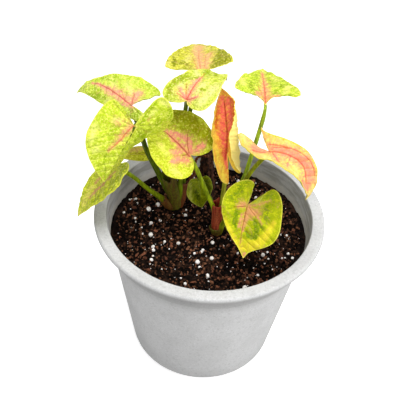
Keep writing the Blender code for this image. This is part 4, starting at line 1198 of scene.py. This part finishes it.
sheath("right_red_sheath", [(5.3, -2.7, 103.5), (5.5, -3.0, 113.0), (5.0, -3.1, 122.0),
                            (4.7, -3.2, 132.5)],
       (2.8, 3.7, 3.2, 3.8), (1, 0, 0), (0.88, 1.0), (RED_SKIN, (176, 84, 48)), "shoot_right",
       turn=math.pi / 2)
sheath("right_olive_sheath", [(5.4, -2.8, 100.5), (5.3, -2.9, 106.0), (5.0, -3.0, 111.5)],
       (0.8, 3.4, 4.8), (1, 0, 0), (0.5, 1.0), (OLIVE_SKIN, (84, 62, 14)), "shoot_right")
sheath("left_front_sheath", [(-23.0, 18.4, 99.0), (-23.5, 18.0, 108.0), (-24.8, 17.4, 118.0),
                             (-27.6, 17.2, 128.0), (-30.6, 17.4, 136.0)],
       (0.8, 3.4, 4.1, 4.2, 3.6), (1, 0, 0), (0.8, 1.0), (OLIVE_SKIN, (94, 74, 18)),
       "shoot_left", turn=math.pi)
sheath("left_back_sheath", [(-20.6, 19.6, 101.0), (-20.0, 19.6, 113.0), (-19.5, 20.0, 127.0)],
       (0.8, 3.0, 2.9), (1, 0, 0), (0.8, 1.0), (BROWN_SKIN, (112, 52, 22)), "shoot_left")
sheath("low_left_sheath", [(-24.5, 18.0, 102.5), (-28.2, 16.0, 108.5), (-32.6, 12.9, 116.3)],
       (1.4, 2.7, 2.2), (0, 1, 0), (0.7, 1.0), (BROWN_SKIN, (116, 84, 24)), "shoot_left")

# OLD STEM AND DRY STALK. The dark fibrous stub of an old stem, cut off level, and one withered
# brown stalk beside it. Ridges of two sine waves and random knots roughen the stub.
STUB_SIDES = 48
fibre, tree, skin = new_material("dark_fibre", 0.95, 0.2)
strand = grain(tree, stretched_place(tree, 1.0, 0.35), 520, 5.0, 0.7)
tint = blend(tree, soft_step(tree, strand, 0.4, 0.65), srgb(22, 12, 8), srgb(96, 58, 40))
dress(tree, skin, tint, strand, 1.0, 0.0015)
route = smooth_path([(-3.5, 28.0, 96.0), (-3.5, 28.0, 104.0), (-3.2, 28.0, 114.0),
                     (-4.0, 28.2, 126.0), (-4.4, 28.0, 138.0), (-4.7, 27.8, 146.0)], 14)
width = np.interp(np.linspace(0, 1, len(route)), np.linspace(0, 1, 6),
                  (4.6, 5.0, 4.4, 4.5, 4.0, 4.2))
rings = tube(route, width, (1, 0, 0), sides=STUB_SIDES)
middle = np.concatenate((route[:1], route, route[-1:]))[:, None]
swirl = np.linspace(0, math.tau, STUB_SIDES, endpoint=False)
ridge = (0.10 * np.sin(9 * swirl) + 0.07 * np.sin(17 * swirl + 1.3))[None, :]
knots = 0.09 * bumps(swirl[None, :] * 5, rings[:, :, 2], 6, 21)
rings = middle + (rings - middle) * (1 + ridge + knots)[..., None]
stub = surface("old_stem_stub", rings * MM, fibre, closed=True)
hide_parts("old_stem")
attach(stub, "root")

withered, tree, skin = new_material("withered_brown", 0.8, 0.25)
streak = grain(tree, object_place(tree), 700, 4.0)
tint = blend(tree, soft_step(tree, streak, 0.35, 0.65), srgb(60, 30, 16), srgb(140, 78, 46))
dress(tree, skin, tint, streak, 0.8, 0.0005)
route = smooth_path([(-20.0, 26.0, 96.0), (-20.0, 25.5, 106.0), (-20.1, 25.0, 112.8),
                     (-17.3, 25.0, 119.4), (-12.8, 25.0, 129.0), (-12.1, 24.5, 136.0),
                     (-11.6, 23.5, 143.5), (-8.7, 22.0, 147.9), (-4.0, 20.5, 149.3)], 8)
width = np.linspace(1.2, 0.7, len(route)) * (1 + 0.18 * np.sin(np.arange(len(route)) * 1.7))
dry = surface("dry_stalk_twig", tube(route, width, (0, 1, 0), sides=12, ripple=0.12) * MM,
              withered, closed=True)
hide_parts("dry_stalk")
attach(dry, "root")

# STAGE. A plain white floor under soft light from a bright room and three large soft lamps,
# above, at the right and in front, and the camera that looks down on the plant at 43 degrees.
FLOOR_REACH = 6.0
white, tree, skin = new_material("white_floor", 0.9, 0.1)
skin.inputs["Base Color"].default_value = (0.68, 0.68, 0.68, 1)
skin.inputs["Emission Color"].default_value = (1, 1, 1, 1)
seen = tree.nodes.new("ShaderNodeLightPath").outputs["Is Camera Ray"]
put(skin.inputs["Emission Strength"], maths(tree, "MULTIPLY", seen, 0.7), tree)
floor_x, floor_y = np.meshgrid((-FLOOR_REACH, FLOOR_REACH), (-FLOOR_REACH, FLOOR_REACH))
floor = surface("floor", np.stack((floor_x, floor_y, 0 * floor_x), -1), white)

world = bpy.data.worlds.new("bright_room")
bpy.context.scene.world = world
world.use_nodes = True
sky = world.node_tree.nodes["Background"]
sky.inputs["Color"].default_value = (1, 1, 1, 1)
seen = world.node_tree.nodes.new("ShaderNodeLightPath").outputs["Is Camera Ray"]
put(sky.inputs["Strength"], maths(world.node_tree, "MULTIPLY_ADD", seen, 0.6, 0.4),
    world.node_tree)
bpy.context.scene.view_settings.view_transform = "Standard"


def stand(name, data, side, top, back, place):
    """Put a lamp or camera at place, with its side, its top and its back along three directions."""
    piece = new_piece(name, data)
    rows = np.vstack((np.stack((side, top, back, place), -1), (0, 0, 0, 1)))
    piece.matrix_world = Matrix(rows.tolist())
    return piece


def lamp(name, place, target, size, power):
    """A square soft lamp at place that faces target, in metres and watts."""
    data = bpy.data.lights.new(name, "AREA")
    data.shape = "SQUARE"
    data.size = size
    data.energy = power
    back = np.array(place) - np.array(target)
    back = back / np.linalg.norm(back)
    side = np.cross((0, 0, 1), back)
    side /= np.linalg.norm(side)
    stand(name, data, side, np.cross(back, side), back, place)


lamp("top_lamp", (0.1, 0.0, 1.3), (0, 0, 0.12), 0.8, 14.5)
lamp("side_lamp", (1.2, -0.4, 0.4), (0, 0, 0.1), 0.6, 7.5)
lamp("front_lamp", (-0.1, -1.1, 0.75), (0, 0, 0.12), 0.7, 4.5)

CAMERA_TILT = math.radians(43.44)
CAMERA_ROLL = math.radians(4.634)
CAMERA_DISTANCE = 0.6
CAMERA_TARGET = (0.0, 0.0, 0.12288)
forward = np.array((0, math.cos(CAMERA_TILT), -math.sin(CAMERA_TILT)))
level = np.array((1.0, 0, 0))
up = np.cross(level, forward)
right = math.cos(CAMERA_ROLL) * level + math.sin(CAMERA_ROLL) * up
top = math.cos(CAMERA_ROLL) * up - math.sin(CAMERA_ROLL) * level
place = np.array(CAMERA_TARGET) - CAMERA_DISTANCE * forward
# The shift centres the picture where the photo has it.
lens = bpy.data.cameras.new("camera")
lens.sensor_width = 36.0
lens.lens = 80.35
lens.shift_x = -0.0054
lens.shift_y = 0.0012
lens.clip_start = 0.01
bpy.context.scene.camera = stand("camera", lens, right, top, -forward, place)
